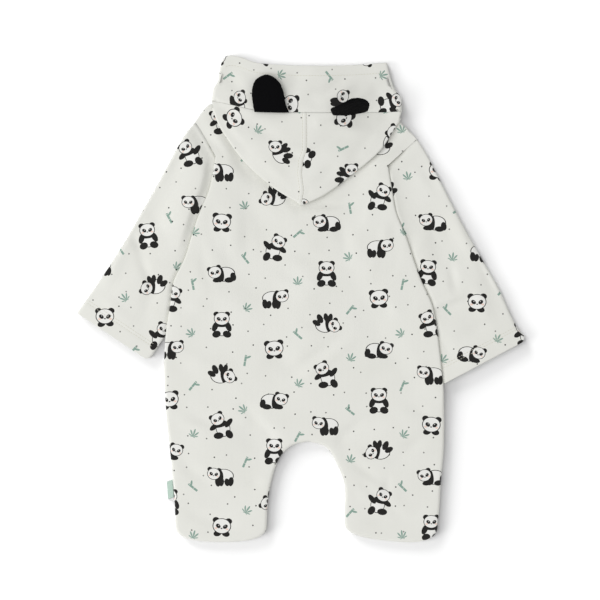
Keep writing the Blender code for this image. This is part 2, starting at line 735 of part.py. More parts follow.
def make_hood_band():
    """Band between the rim and the ear seam, its ends turned under to the throat."""
    top_shares = (0.03, 0.1, 0.18, 0.27, 0.36, 0.45, 0.54, 0.63, 0.72, 0.81, 0.9, 0.97)
    under_shares = (0.08, 0.22, 0.4, 0.6, 0.8, 1.0)

    def make_grid(inset):
        grid = []
        for down in (0.0, 0.09, 0.2, 0.4, 0.6, 0.8, 1.0):
            under = {}
            folds = {}
            for side, way, fold_line, rim_line, seam_line in (
                    ("left", -1, SIDE_FOLD_LEFT, UNDER_RIM_LEFT, UNDER_SEAM_LEFT),
                    ("right", 1, SIDE_FOLD_RIGHT, UNDER_RIM_RIGHT, UNDER_SEAM_RIGHT)):
                pairs = zip(spread(rim_line, under_shares), spread(seam_line, under_shares))
                under[side] = [Vector((*mix(rim, seam, down), inset)) for rim, seam in pairs]
                edge = along(fold_line, down)
                radius = hood_top(*edge) / 2
                out = Vector((way, 0.0))
                folds[side] = fold_round(edge - out * radius, out, radius - inset, radius, FOLD)
            row = under["left"][::-1] + folds["left"][::-1]
            for rim, seam in zip(spread(RIM, top_shares), spread(EAR_SEAM, top_shares)):
                spot = mix(rim, seam + Vector((0, SEAM)), down)
                row.append(Vector((*spot, hood_top(*spot) - inset)))
            grid.append(row + folds["right"] + under["right"])
        return grid

    add_wall("hood_band", make_grid, WALL, False, cotton)


# ---------------------------------------------------------------- the trims
def make_ear(side):
    """Round ear of two layers of fleece, sewn and turned, upright on its base."""
    rings = spline(EAR_EDGES[side], 2)
    around = 14
    points = []
    for share, low, high in rings:
        middle, half = (low + high) / 2, (high - low) / 2
        thick = EAR_THICK / 2 * (1 - 0.5 * smooth(0.3, 1.05, share))
        for part in range(around):
            turn = 2 * math.pi * part / around
            cosine, sine = math.cos(turn), math.sin(turn)
            points.append(Vector((middle + half * math.copysign(abs(cosine) ** 0.8, cosine),
                                  thick * math.copysign(abs(sine) ** 0.8, sine),
                                  share * EAR_HEIGHT)))
    faces = []
    for i in range(len(rings) - 1):
        for j in range(around):
            k = (j + 1) % around
            faces.append((i * around + j, i * around + k, (i + 1) * around + k,
                          (i + 1) * around + j))
    faces.append(tuple(reversed(range(around))))
    faces.append(tuple((len(rings) - 1) * around + j for j in range(around)))
    item = add_object("ear_" + side, points, faces, fleece)
    place = EARS[side]
    item.location = Vector(place["base"]) * MM
    item.rotation_euler = (-math.radians(place["lean"]), 0.0, math.radians(place["turn"]))


def make_label():
    """Bare woven tape, folded over and caught in the side seam of the left leg."""
    start, end = (Vector(point) for point in LABEL_ENDS)
    reach = Vector(LABEL_REACH)

    def make_grid(inset):
        grid = []
        for row in range(5):
            base = mix(start, end, row / 4)
            line = []
            for step in range(7):
                share = step / 6
                height = body_middle(*base) + LABEL_WALL / 2 - LABEL_DROOP * share ** 1.5
                line.append(Vector((*(base + reach * share), height - inset)))
            grid.append(line)
        return grid

    add_wall("label", make_grid, LABEL_WALL, False, sage_tape)


for old in list(bpy.data.objects):
    bpy.data.objects.remove(old, do_unlink=True)
make_back()
for _side in ("left", "right"):
    make_front(_side)
    make_sleeve(_side)
    make_hood_side(_side)
    make_ear(_side)
make_hood_band()
make_studs()
make_label()
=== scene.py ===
"""Looks of a baby's panda pramsuit, laid flat on its front.  Sizes are in millimetres."""
import math

import bmesh
import bpy
import numpy as np
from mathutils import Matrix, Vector
from mathutils.bvhtree import BVHTree
from mathutils.geometry import delaunay_2d_cdt


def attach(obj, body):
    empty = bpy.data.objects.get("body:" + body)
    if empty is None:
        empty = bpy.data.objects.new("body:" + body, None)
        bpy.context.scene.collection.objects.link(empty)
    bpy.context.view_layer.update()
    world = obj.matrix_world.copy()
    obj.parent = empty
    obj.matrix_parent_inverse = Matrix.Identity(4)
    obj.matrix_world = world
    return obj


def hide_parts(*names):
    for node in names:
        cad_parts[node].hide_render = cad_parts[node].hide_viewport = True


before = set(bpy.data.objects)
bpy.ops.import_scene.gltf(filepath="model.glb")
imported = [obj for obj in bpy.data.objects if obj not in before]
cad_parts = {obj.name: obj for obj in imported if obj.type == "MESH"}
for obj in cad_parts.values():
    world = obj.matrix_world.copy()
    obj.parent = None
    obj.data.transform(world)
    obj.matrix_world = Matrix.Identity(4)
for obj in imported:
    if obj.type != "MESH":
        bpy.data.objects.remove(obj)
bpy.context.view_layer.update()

# ---- Back: one panel of brushed cotton interlock for the body, both legs and both feet.
# It lies uppermost, over the fronts and the tucked edges of the sleeves, and rolls round
# at its sides to the side seams.
WALL = 1.6                 # thickness of the cloth
LEAST = 2 * WALL + 0.8     # height of two layers with a little air between them
SEAM = 0.1                 # room between two pieces that are sewn together
LOOSE = 0.5                # room between two pieces that lie on each other
FLAT, PUFF, SHOULDER = 4.0, 6.8, 4.8      # heights where pressed flat, slack, at the shoulder
TUCKED = FLAT + SEAM       # height of the fronts over a tucked sleeve
STACK = 8.6                # height of the back over a tucked sleeve
CROTCH = (8.6, -156.9)
SIDES = (
    # level, left x, right x
    (145, -95.2, 96.3), (120, -100.4, 101.0), (95, -111.0, 105.5), (70, -119.4, 115.8),
    (45, -127.2, 124.2), (20, -139.2, 133.1), (-5, -143.0, 144.5), (-30, -147.0, 149.8),
    (-60, -149.6, 153.5), (-95, -149.3, 157.2), (-130, -147.3, 158.4),
    (-165, -143.6, 157.9), (-200, -140.3, 154.8), (-230, -138.2, 153.1),
)
INSIDES = (
    # level, left leg x, right leg x
    (-159.3, -4.0, 20.0), (-163.5, -12.5, 28.6), (-172, -21.0, 35.2), (-185, -27.5, 41.7),
    (-200, -31.8, 47.7), (-215, -34.8, 49.6), (-231, -36.3, 48.7),
)
FEET = {
    # side: middle x, half width, ankle level, depth, tilt
    "left": (-87.2, 50.3, -247.5, 19.9, 0.00),
    "right": (100.2, 51.2, -246.0, 20.6, -0.09),
}
FOOT_ROUND = 2.8           # 2 would be an ellipse, more is squarer
SHOULDERS = {
    "left": ((-115.9, 194.6), (-107.8, 206.4), (-98.0, 214.6), (-80.0, 209.0)),
    "right": ((128.3, 175.9), (117.8, 187.0), (103.0, 199.5), (84.0, 203.5)),
}
BACK_NECK = ((-66.0, 205.5), (-36.0, 197.0), (2.0, 192.5), (40.0, 196.0), (68.0, 204.0))
# Edges of each sleeve laid flat, from the armhole to the cuff.
SLEEVES = {
    "left": (
        # outer x, outer y, inner x, inner y
        (-115.9, 194.6, -79.6, 84.6), (-128.0, 179.2, -87.3, 69.2),
        (-142.3, 153.9, -97.2, 49.4), (-157.7, 125.3, -110.4, 27.4),
        (-176.4, 92.3, -123.6, 4.3), (-196.2, 58.2, -136.8, -19.9),
        (-216.0, 27.4, -148.9, -40.8), (-233.8, 1.6, -157.6, -54.2),
        (-245.6, -15.6, -167.0, -68.2),
    ),
    "right": (
        (128.3, 175.9, 72.2, 67.0), (138.2, 160.5, 81.0, 49.4), (150.3, 137.4, 90.9, 29.6),
        (163.5, 111.0, 101.9, 7.6), (180.0, 79.1, 114.0, -15.5), (198.7, 46.1, 125.0, -37.5),
        (217.4, 13.1, 136.0, -58.4), (236.4, -27.4, 149.0, -80.0),
        (248.7, -45.4, 156.0, -94.4),
    ),
}
ARMHOLE = {
    # side: bow, share that shows, level below which the sleeve is tucked, how soon it bows
    "left": (9.6, 0.37, 157.0, 0.8), "right": (15.6, 0.34, 150.0, 1.0),
}
FINE = 5.0                 # spacing of the points along an outline
ROLL = (0, 18, 36, 54, 72, 90)            # steps in degrees from a seam up to the face
EDGE_BAND = 2.4            # least width of the band of faces along an outline
# Creases of the back: ridges where the depth is positive, else troughs.
BACK_CREASES = (
    # x, y, to x, to y, width, depth
    (-78, 128, -28, 60, 15, -0.9), (88, 120, 40, 66, 14, -0.8),
    (-118, 20, -60, -8, 16, 0.9), (112, -8, 60, -30, 16, -0.9),
    (-20, -170, -86, -132, 14, -1.1), (30, -168, 96, -126, 14, -1.0),
    (48, -190, 108, -232, 12, 0.8), (-40, -206, -100, -222, 12, -0.8),
    (0, 60, 10, -90, 22, 0.7), (-36, -56, -6, -80, 13, -0.9),
    # the pull from the point of the hood, and short creases across the waist
    (8, 101, 46, 104, 4, -0.9), (10, 95, 52, 98, 5, 0.6), (-16, 98, -42, 118, 6, -0.6),
    (-8, -80, 48, -41, 6, -0.9), (-2, -88, 56, -48, 6, 0.7), (4, -24, 40, -36, 5, -0.6),
    (-24, 28, 4, 22, 6, -0.6), (6, 18, 30, 14, 4, 0.5), (-14, 50, 20, 44, 6, -0.5),
    (46, 82, 52, 44, 7, -0.6), (88, 66, 96, 34, 6, -0.5), (-62, 92, -58, 52, 7, -0.5),
    (-104, 100, -78, 40, 8, -0.8), (-112, 62, -98, 8, 6, -0.6), (-128, -6, -92, -14, 7, 0.5),
    (112, 66, 86, 18, 8, -0.8), (104, 96, 88, 60, 6, 0.6), (128, 10, 92, -14, 8, -0.6),
    (-136, -60, -84, -78, 9, 0.6), (144, -70, 92, -92, 9, 0.6), (-60, 10, 22, -6, 12, -0.6),
    # hollows where the hood's fold pulls the back
    (36, 107, 80, 147, 12, -1.9), (-76, 160, -46, 124, 8, -1.0),
    # round the seat and down the legs
    (-124, -128, -92, -136, 8, -0.9), (-126, -138, -100, -142, 6, 0.6), (-58, -140, -34, -150, 7, -0.8),
    (-56, -202, -32, -204, 4, -0.8), (-28, -160, -62, -118, 6, -0.9), (34, -164, 66, -136, 5, -0.8),
    (52, -176, 86, -200, 6, -0.9), (70, -168, 104, -170, 6, -0.7), (50, -188, 110, -238, 5, -0.7),
    (96, -196, 95, -222, 4, -0.7), (140, -150, 104, -176, 7, -0.7), (-138, -176, -98, -204, 7, -0.7),
    (-124, -236, -74, -250, 6, -0.7), (70, -248, 128, -240, 6, -0.7), (118, -118, 142, -126, 6, -0.6),
)
# The hood's lower edges, from the shoulders to its point, which press the back down a little.
POINTS = {
    "left": ((-97.0, 209.5), (-91.2, 194.0), (-82.5, 178.5), (-60.5, 149.0), (-30.2, 122.4),
             (-2.0, 102.6)),
    "right": ((110.6, 197.6), (100.2, 181.4), (86.0, 161.0), (56.0, 135.8), (27.0, 114.8),
              (-2.0, 102.6)),
}
PRESSED, PRESS_WIDTH = 2.6, 7.0
FADE_IN = (3.0, 22.0)      # creases begin and are full at these distances from the edge


def smooth(low, high, value):
    """Rise softly from 0 at low to 1 at high."""
    share = np.clip((np.asarray(value, float) - low) / (high - low), 0.0, 1.0)
    return share * share * (3 - 2 * share)


def mix(start, end, share):
    """Number or place between start and end."""
    return start + (end - start) * share


def unit(ways):
    """Directions, each made 1 long."""
    return ways / np.linalg.norm(ways, axis=-1, keepdims=True)


def spline(points, steps):
    """Catmull-Rom line through points, with the given steps between two of them."""
    knots = np.array(points, float)
    knots = np.vstack((2 * knots[0] - knots[1], knots, 2 * knots[-1] - knots[-2]))
    line = []
    for before, start, end, after in zip(knots, knots[1:], knots[2:], knots[3:]):
        for t in np.arange(steps) / steps:
            line.append(0.5 * (2 * start + (end - before) * t
                               + (2 * before - 5 * start + 4 * end - after) * t ** 2
                               + (3 * start - before - 3 * end + after) * t ** 3))
    return np.array(line + [knots[-2]])


def spread(points, shares):
    """Places at shares of the length of a smooth line through points."""
    line = spline(points, 8)
    lengths = np.append(0.0, np.cumsum(np.linalg.norm(np.diff(line, axis=0), axis=1)))
    wanted = np.asarray(shares, float) * lengths[-1]
    return np.column_stack([np.interp(wanted, lengths, line[:, axis]) for axis in range(line.shape[1])])


def resample(points, spacing):
    """Places at even steps of about spacing on a smooth line through points."""
    line = spline(points, 8)
    length = np.linalg.norm(np.diff(line, axis=0), axis=1).sum()
    return spread(points, np.linspace(0.0, 1.0, max(2, round(length / spacing) + 1)))


def to_piece(places, start, end):
    """For each place, the share of a straight piece that it lies beside, and its distance."""
    run = end - start
    share = np.clip((places - start) @ run / max(run @ run, 1e-9), 0.0, 1.0)
    return share, np.linalg.norm(places - start - share[:, None] * run, axis=1)


def to_line(places, *lines):
    """Distance of each place from the nearest of some open lines."""
    best = np.full(len(places), 1e9)
    for line in map(np.array, lines):
        for start, end in zip(line[:-1], line[1:]):
            best = np.minimum(best, to_piece(places, start, end)[1])
    return best


def outside_by(places, loop):
    """Distance of each place outside a closed outline, below zero inside it."""
    closed = np.vstack((loop, loop[:1]))
    inside = np.zeros(len(places), bool)
    for start, end in zip(closed[:-1], closed[1:]):
        if start[1] == end[1]:
            continue
        crosses = (start[1] > places[:, 1]) != (end[1] > places[:, 1])
        x = start[0] + (places[:, 1] - start[1]) * (end[0] - start[0]) / (end[1] - start[1])
        inside ^= crosses & (places[:, 0] < x)
    return to_line(places, closed) * np.where(inside, -1.0, 1.0)


def armhole(side, shares, gap=0.0):
    """Places on an armhole from the shoulder tip to the underarm, moved to the body by gap."""
    start, end = np.array(SLEEVES[side][0]).reshape(2, 2)
    across = unit(end - start)
    toward = np.array((-across[1], across[0])) * (1 if side == "left" else -1)
    shares = np.asarray(shares, float)[:, None]
    deep, shown, _, soon = ARMHOLE[side]
    bow = deep * np.minimum(shares / shown, 1.0) ** soon * (1 - smooth(shown, 1.0, shares))
    return mix(start, end, shares) + toward * (bow + gap)


def shown_armhole(side):
    """Body edge along the part of an armhole that shows, from the shoulder tip."""
    return armhole(side, np.linspace(0.0, ARMHOLE[side][1], 13), SEAM)


def foot(side):
    """Places round the closed end of a leg, from its outer ankle to its inner one."""
    middle, half, ankle, depth, tilt = FEET[side]
    angles = np.pi * np.linspace(0.0, 1.0, 37)
    angles = np.pi - angles if side == "left" else angles
    cosine, sine = np.cos(angles), np.sin(angles)
    x = half * np.sign(cosine) * np.abs(cosine) ** (2 / FOOT_ROUND)
    drop = depth * np.abs(sine) ** (2 / FOOT_ROUND)
    return np.column_stack((middle + x, ankle - drop + tilt * x * drop / depth))


def side_edge(side, spacing):
    """Body edge from the armhole to the crotch, down one side and round the foot."""
    column = 1 if side == "left" else 2
    toe = foot(side)
    outer = [shown_armhole(side)[-1]] + [(row[column], row[0]) for row in SIDES] + [toe[0]]
    inner = [toe[-1]] + [(row[column], row[0]) for row in reversed(INSIDES)] + [CROTCH]
    return np.vstack((resample(outer, spacing), toe[1:-1], resample(inner, spacing)))


TOP_LINE = np.array(SHOULDERS["left"] + BACK_NECK + SHOULDERS["right"][::-1])
BODY = np.vstack((
    side_edge("left", FINE)[::-1], shown_armhole("left")[::-1][1:],
    resample(TOP_LINE, FINE)[1:-1], shown_armhole("right")[:-1], side_edge("right", FINE)[:-1]))
SLEEVE_PLAN = {side: np.vstack((
    np.array(rows)[:, :2], np.array(rows)[::-1, 2:], armhole(side, np.linspace(0.9, 0.05, 12))))
    for side, rows in SLEEVES.items()}


def over_sleeve(places, near, far):
    """1 over a tucked sleeve, falling to 0 between two distances from it."""
    best = np.zeros(len(places))
    for side, (_, _, level, _) in ARMHOLE.items():
        share = 1 - smooth(near, far, outside_by(places, SLEEVE_PLAN[side]))
        best = np.maximum(best, share * (1 - smooth(level, level + 22.0, places[:, 1])))
    return best


def body_bottom(places):
    """Underside of the fronts: on the floor, or over a tucked sleeve."""
    return TUCKED * over_sleeve(places, 4.0, 28.0)


def creased(places, creases):
    """Sum of the ridges and troughs at each place."""
    total = np.zeros(len(places))
    for x0, y0, x1, y1, width, depth in creases:
        share, gap = to_piece(places, np.array((x0, y0), float), np.array((x1, y1), float))
        total += 2.0 * depth * np.exp(-(gap / width) ** 2) * (0.35 + 0.65 * np.sin(np.pi * share))
    return total


def rumple(places, pitch, depth):
    """Low, uneven waves of about one pitch, as cloth keeps after it is smoothed out."""
    x, y = places.T / pitch
    waves = (np.sin(4.1 * x + 1.7 * np.sin(2.3 * y + 0.4)) + 0.7 * np.sin(5.3 * x + 4.7 * y + 1.1)
             + np.sin(3.3 * y + 1.9 * np.sin(2.9 * x + 2.1)) + 0.7 * np.sin(6.1 * y - 4.9 * x + 2.7))
    return depth * waves / 3.4


def body_top(places):
    """Upper face of the back."""
    within = -outside_by(places, BODY)
    height = PUFF + (STACK - PUFF) * over_sleeve(places, 8.0, 36.0)
    soft = creased(places, BACK_CREASES) + rumple(places, 70.0, 0.45)
    height = height + soft * smooth(*FADE_IN, within) + rumple(places, 26.0, 0.16) * smooth(1.0, 8.0, within)
    height = mix(SHOULDER, height, smooth(0.0, 45.0, to_line(places, TOP_LINE)))
    seam = to_line(places, shown_armhole("left"), shown_armhole("right"))
    height = mix(FLAT, height, smooth(0.0, 14.0, seam))
    return np.maximum(height, body_bottom(places) + LEAST)


def pressed_top(places):
    """Upper face of the back, pressed down along the lower edges of the hood."""
    edge = to_line(places, *POINTS.values())
    press = PRESSED * np.exp(-(edge / PRESS_WIDTH) ** 2) * smooth(*FADE_IN, -outside_by(places, BODY))
    return np.maximum(body_top(places) - press, body_bottom(places) + LEAST)


def body_middle(places):
    """Height of the side seams."""
    return (body_bottom(places) + body_top(places)) / 2


def to_linear(code):
    """Linear colour from an sRGB hex code."""
    channels = [int(code[i:i + 2], 16) / 255 for i in (1, 3, 5)]
    return [c / 12.92 if c <= 0.04045 else ((c + 0.055) / 1.055) ** 2.4 for c in channels] + [1.0]


def fill(node, inputs):
    """Give a node's inputs, in order or by name, a value or the output of another node."""
    for key, value in inputs.items() if isinstance(inputs, dict) else enumerate(inputs):
        if isinstance(value, bpy.types.NodeSocket):
            node.id_data.links.new(value, node.inputs[key])
        else:
            node.inputs[key].default_value = value


def add(tree, kind, inputs=(), **settings):
    """Add a node and return its outputs.  A kind in capitals is an operation of a Math node."""
    if kind.isupper():
        kind, settings = "Math", {"operation": kind}
    node = tree.nodes.new("ShaderNode" + kind)
    for name, value in settings.items():
        setattr(node, name, value)
    fill(node, inputs)
    return node.outputs


def new_material(name):
    """Material, with its node tree and its Principled shader."""
    material = bpy.data.materials.new(name)
    material.use_nodes = True
    return material, material.node_tree, material.node_tree.nodes["Principled BSDF"]


def put(name, data):
    """Object that holds data, placed in the scene."""
    item = bpy.data.objects.new(name, data)
    bpy.context.scene.collection.objects.link(item)
    return item


def add_mesh(name, points, faces, prints=None):
    """Smooth mesh object from points in millimetres, with a flat print map if given."""
    mesh = bpy.data.meshes.new(name)
    mesh.from_pydata((np.asarray(points, float) / 1000).tolist(), [], [list(map(int, f)) for f in faces])
    if prints is not None:
        layer = mesh.uv_layers.new(name="print")
        corners = np.array([loop.vertex_index for loop in mesh.loops])
        layer.data.foreach_set("uv", np.asarray(prints, np.float32)[corners].ravel())
    turned = bmesh.new()
    turned.from_mesh(mesh)
    bmesh.ops.recalc_face_normals(turned, faces=turned.faces)
    turned.to_mesh(mesh)
    turned.free()
    mesh.shade_smooth()
    return put(name, mesh)


def add_panel(name, loop, cut_lines, outer, middle, facing, spacing):
    """Wall of cloth inside a closed outline.

    Its edges roll round to the seam, except along cut_lines.  outer gives the height of the
    outside face, middle that of the seam, and facing is 1 for a back and -1 for a front.
    """
    nexts, befores = np.roll(loop, -1, axis=0), np.roll(loop, 1, axis=0)
    if np.sum(loop[:, 0] * nexts[:, 1] - nexts[:, 0] * loop[:, 1]) < 0:
        return add_panel(name, loop[::-1], cut_lines, outer, middle, facing, spacing)
    count = len(loop)
    rolled = smooth(0.5, 8.0, to_line(loop, *cut_lines))
    first, second = unit(loop - befores), unit(nexts - loop)
    out = unit(np.column_stack((first[:, 1] + second[:, 1], -first[:, 0] - second[:, 0])))
    sharp = np.maximum(0.6, np.sum(out * np.column_stack((first[:, 1], -first[:, 0])), axis=1))
    seam = middle(loop)
    radius = np.abs(outer(loop) - seam)
    points, backs, prints = [], [], []
    for step in ROLL:
        inset = radius * (1 - math.cos(math.radians(step))) / sharp
        inset = np.maximum(inset, EDGE_BAND) if step == 90 else inset
        place = loop - out * inset[:, None]
        turn = np.radians(mix(90.0, step, rolled))
        height = seam + facing * (SEAM / 2 + (np.abs(outer(place) - seam) - SEAM / 2) * np.sin(turn))
        normal = np.column_stack((out * np.cos(turn)[:, None], facing * np.sin(turn)))
        points.append(np.column_stack((place, height)))
        backs.append(points[-1] - normal * WALL)
        stretch = (radius * (math.pi / 2 - np.radians(step)) - radius * np.cos(np.radians(step))) * rolled
        prints.append(place + out * stretch[:, None])
    inner_loop = points[-1][:, :2]
    low, high = loop.min(axis=0), loop.max(axis=0)
    rows = np.arange(low[1], high[1], spacing * math.sqrt(3) / 2)
    scatter = np.array([(x, y) for index, y in enumerate(rows)
                        for x in np.arange(low[0] + spacing / 2 * (index % 2), high[0], spacing)])
    scatter = scatter[outside_by(scatter, inner_loop) < -0.6 * spacing]
    flat, _, triangles, _, _, _ = delaunay_2d_cdt(
        [tuple(p) for p in np.vstack((inner_loop, scatter))], [], [list(range(count))], 1, 1e-4)
    inside = np.array([tuple(p) for p in flat])[count:]
    rises = [(outer(inside + move) - outer(inside - move)) / 2 for move in np.eye(2)]
    normal = unit(np.column_stack((-rises[0], -rises[1], np.ones(len(inside)))) * facing)
    points.append(np.column_stack((inside, outer(inside))))
    backs.append(points[-1] - normal * WALL)
    prints.append(inside)
    start = (len(ROLL) - 1) * count
    faces = [(base + index, base + after, base + count + after, base + count + index)
             for base in range(0, start, count)
             for index, after in enumerate([*range(1, count), 0])]
    faces += [tuple(start + index for index in triangle) for triangle in triangles]
    points, backs = np.vstack(points), np.vstack(backs)
    size = len(points)
    faces += [tuple(size + index for index in reversed(face)) for face in faces]
    faces += [(i, size + i, size + (i + 1) % count, (i + 1) % count) for i in range(count)]
    return add_mesh(name, np.vstack((points, backs)), faces, np.vstack(prints + prints))


INK, SAGE, BLUSH, FUR = "#12110F", "#87A296", "#EBCFC2", "#EAEAE6"
CELL = (57.6, 55.8)        # width and height of the half-drop cell that holds one panda
DOT_PITCH, DOT = 22.0, 1.7                # spacing and width of the dots
FIGURE = 1.14              # the pandas are printed this much smaller than their poses are drawn
OUTLINE = 1.1              # outer edge of the thin lines round a head and a body
# Round spots of a face, as shares of its half size: x, y, half width, half height, turn.
FACE = {"ear": (0.76, 0.78, 0.40, 0.42, 20), "eye patch": (0.42, -0.04, 0.25, 0.34, -34),
        "glint": (0.38, 0.06, 0.05, 0.055, 0), "nose": (0.0, -0.34, 0.11, 0.09, 0),
        "cheek": (0.66, -0.38, 0.17, 0.13, 0)}
LOBES, LEAF, LEAN = 5.0, 4.2, 4.8         # a leaf's lobes, their reach, and how far it leans
STALK, JOINT = 1.2, 6.2    # half width of a stalk, and spacing of its joints
SHOOT = (2.9, 4.2, 1.1, 3.0, -58)         # its side shoot, as a round spot
RIB = 1.3                  # width of the knit's ribs as drawn, twice the real one
HIDDEN = (0, 0, 0.4, 0.4, 0)             # a part that a pose hides behind the head
# Each pose: middle x, middle y, half width, half height and turn of each round part.
POSES = (
    {"head": (0, 7, 9.0, 7.5, 0), "body": (0, -5, 8.6, 9.0, 0), "band": (0, 0.4, 11.0, 4.0, 0),
     "arm": (-8.2, -2.8, 3.5, 6.6, -24), "other arm": (8.2, -2.8, 3.5, 6.6, 24),
     "leg": (-6.6, -12.4, 5.4, 4.3, 18), "other leg": (6.6, -12.4, 5.4, 4.3, -18)},
    {"head": (-8.6, 1.5, 7.8, 6.9, 14), "body": (4, -1, 11.8, 8.4, 6), "band": (-1.4, -1, 4.3, 10.1, 8),
     "arm": (-5.5, -8.2, 5.8, 3.0, 8), "other arm": (-2.4, -6.8, 3.8, 4.2, 0),
     "leg": (9.4, -8, 6.0, 3.4, 6), "other leg": (14.4, -4, 3.6, 5.4, 14)},
    {"head": (0, 1.5, 10.6, 8.8, -6), "body": HIDDEN, "band": HIDDEN,
     "arm": (-5.4, -7.6, 5.0, 3.6, 12), "other arm": (5, -8.2, 5.0, 3.6, -16),
     "leg": HIDDEN, "other leg": HIDDEN},
    {"head": (-10.0, 3.4, 7.6, 6.8, -8), "body": (3, 1.4, 11.0, 7.4, -4), "band": (-2.2, 0.6, 4.2, 8.9, 6),
     "arm": (-5.2, -7, 3.2, 5.8, 10), "other arm": (-0.2, -7.2, 3.0, 5.1, -10),
     "leg": (11.4, -6.4, 3.5, 5.8, -8), "other leg": (6.6, -7.2, 3.2, 4.9, 10)},
    {"head": (-5.4, 8.2, 8.0, 7.0, 28), "body": (1.6, -3.4, 8.2, 9.6, 12),
     "band": (-1.4, 1.8, 10.1, 3.7, 16), "arm": (-9.8, -1.6, 3.2, 6.3, -52),
     "other arm": (8.6, 3.6, 3.2, 6.8, -38), "leg": (-4, -12.4, 6.2, 4.1, 6),
     "other leg": (9.4, -10.6, 4.3, 5.8, 34)},
    {"head": (9.4, -2.0, 7.6, 6.8, -62), "body": (-2.6, -1.2, 10.8, 8.4, -8),
     "band": (2.4, -1.2, 3.8, 9.8, 10), "arm": (4.4, 7.4, 3.1, 6.1, -14),
     "other arm": (-0.6, 8.4, 3.0, 5.6, 12), "leg": (-8.2, 7, 3.5, 6.1, 26),
     "other leg": (-12.6, 1.6, 5.5, 3.3, -30)},
)


def half_drop(tree, place, moved):
    """Place within its half-drop cell, with the cell's column and row."""
    wide, high = CELL
    at = add(tree, "VectorMath", (place, (*moved, 0.0)), operation="ADD")[0]
    x, y, _ = add(tree, "SeparateXYZ", (at,))
    across = add(tree, "DIVIDE", (x, wide))[0]
    column = add(tree, "FLOOR", (across,))[0]
    up = add(tree, "MULTIPLY_ADD", (y, 1 / high, add(tree, "MULTIPLY", (column, 0.5))[0]))[0]
    row = add(tree, "FLOOR", (up,))[0]
    shares = [add(tree, "SUBTRACT", pair)[0] for pair in ((across, column), (up, row))]
    local = add(tree, "VectorMath", (add(tree, "CombineXYZ", shares)[0], (wide, high, 0.0),
                                     (-wide / 2, -high / 2, 0.0)), operation="MULTIPLY_ADD")[0]
    return local, column, row


def round_part(tree, part, pose, place):
    """Place within one round part of a panda, 1 long at the part's edge."""
    tables = []
    for columns, lift in (((0, 1, 4), (40, 40, 180)), ((2, 3, 3), (0, 0, 0))):
        table = add(tree, "ValToRGB", (pose,))[0]
        table.node.color_ramp.interpolation = "CONSTANT"
        stops = table.node.color_ramp.elements
        for number, figure in enumerate(POSES):
            stop = stops[number] if number < 2 else stops.new(number / len(POSES))
            stop.position = number / len(POSES)
            stop.color = (*((figure[part][column] + up) / 360 for column, up in zip(columns, lift)), 1.0)
        tables.append(table)
    middle, turn, half = (
        add(tree, "VectorMath", (table, scale, move), operation="MULTIPLY_ADD")[0]
        for table, scale, move in ((tables[0], (360, 360, 0), (-40, -40, 0)),
                                   (tables[0], (0, 0, 2 * math.pi), (0, 0, -math.pi)),
                                   (tables[1], (360, 360, 0), (0, 0, 1))))
    return add(tree, "Mapping", (place, middle, turn, half), vector_type="TEXTURE")[0]


def oval(tree, place, x, y, half_wide, half_high, turn):
    """1 inside an oval, 0 outside it."""
    local = add(tree, "Mapping", (place, (x, y, 0), (0, 0, math.radians(turn)), (half_wide, half_high, 1)),
                vector_type="TEXTURE")[0]
    return add(tree, "LESS_THAN", (add(tree, "VectorMath", (local,), operation="LENGTH")[1], 1.0))[0]


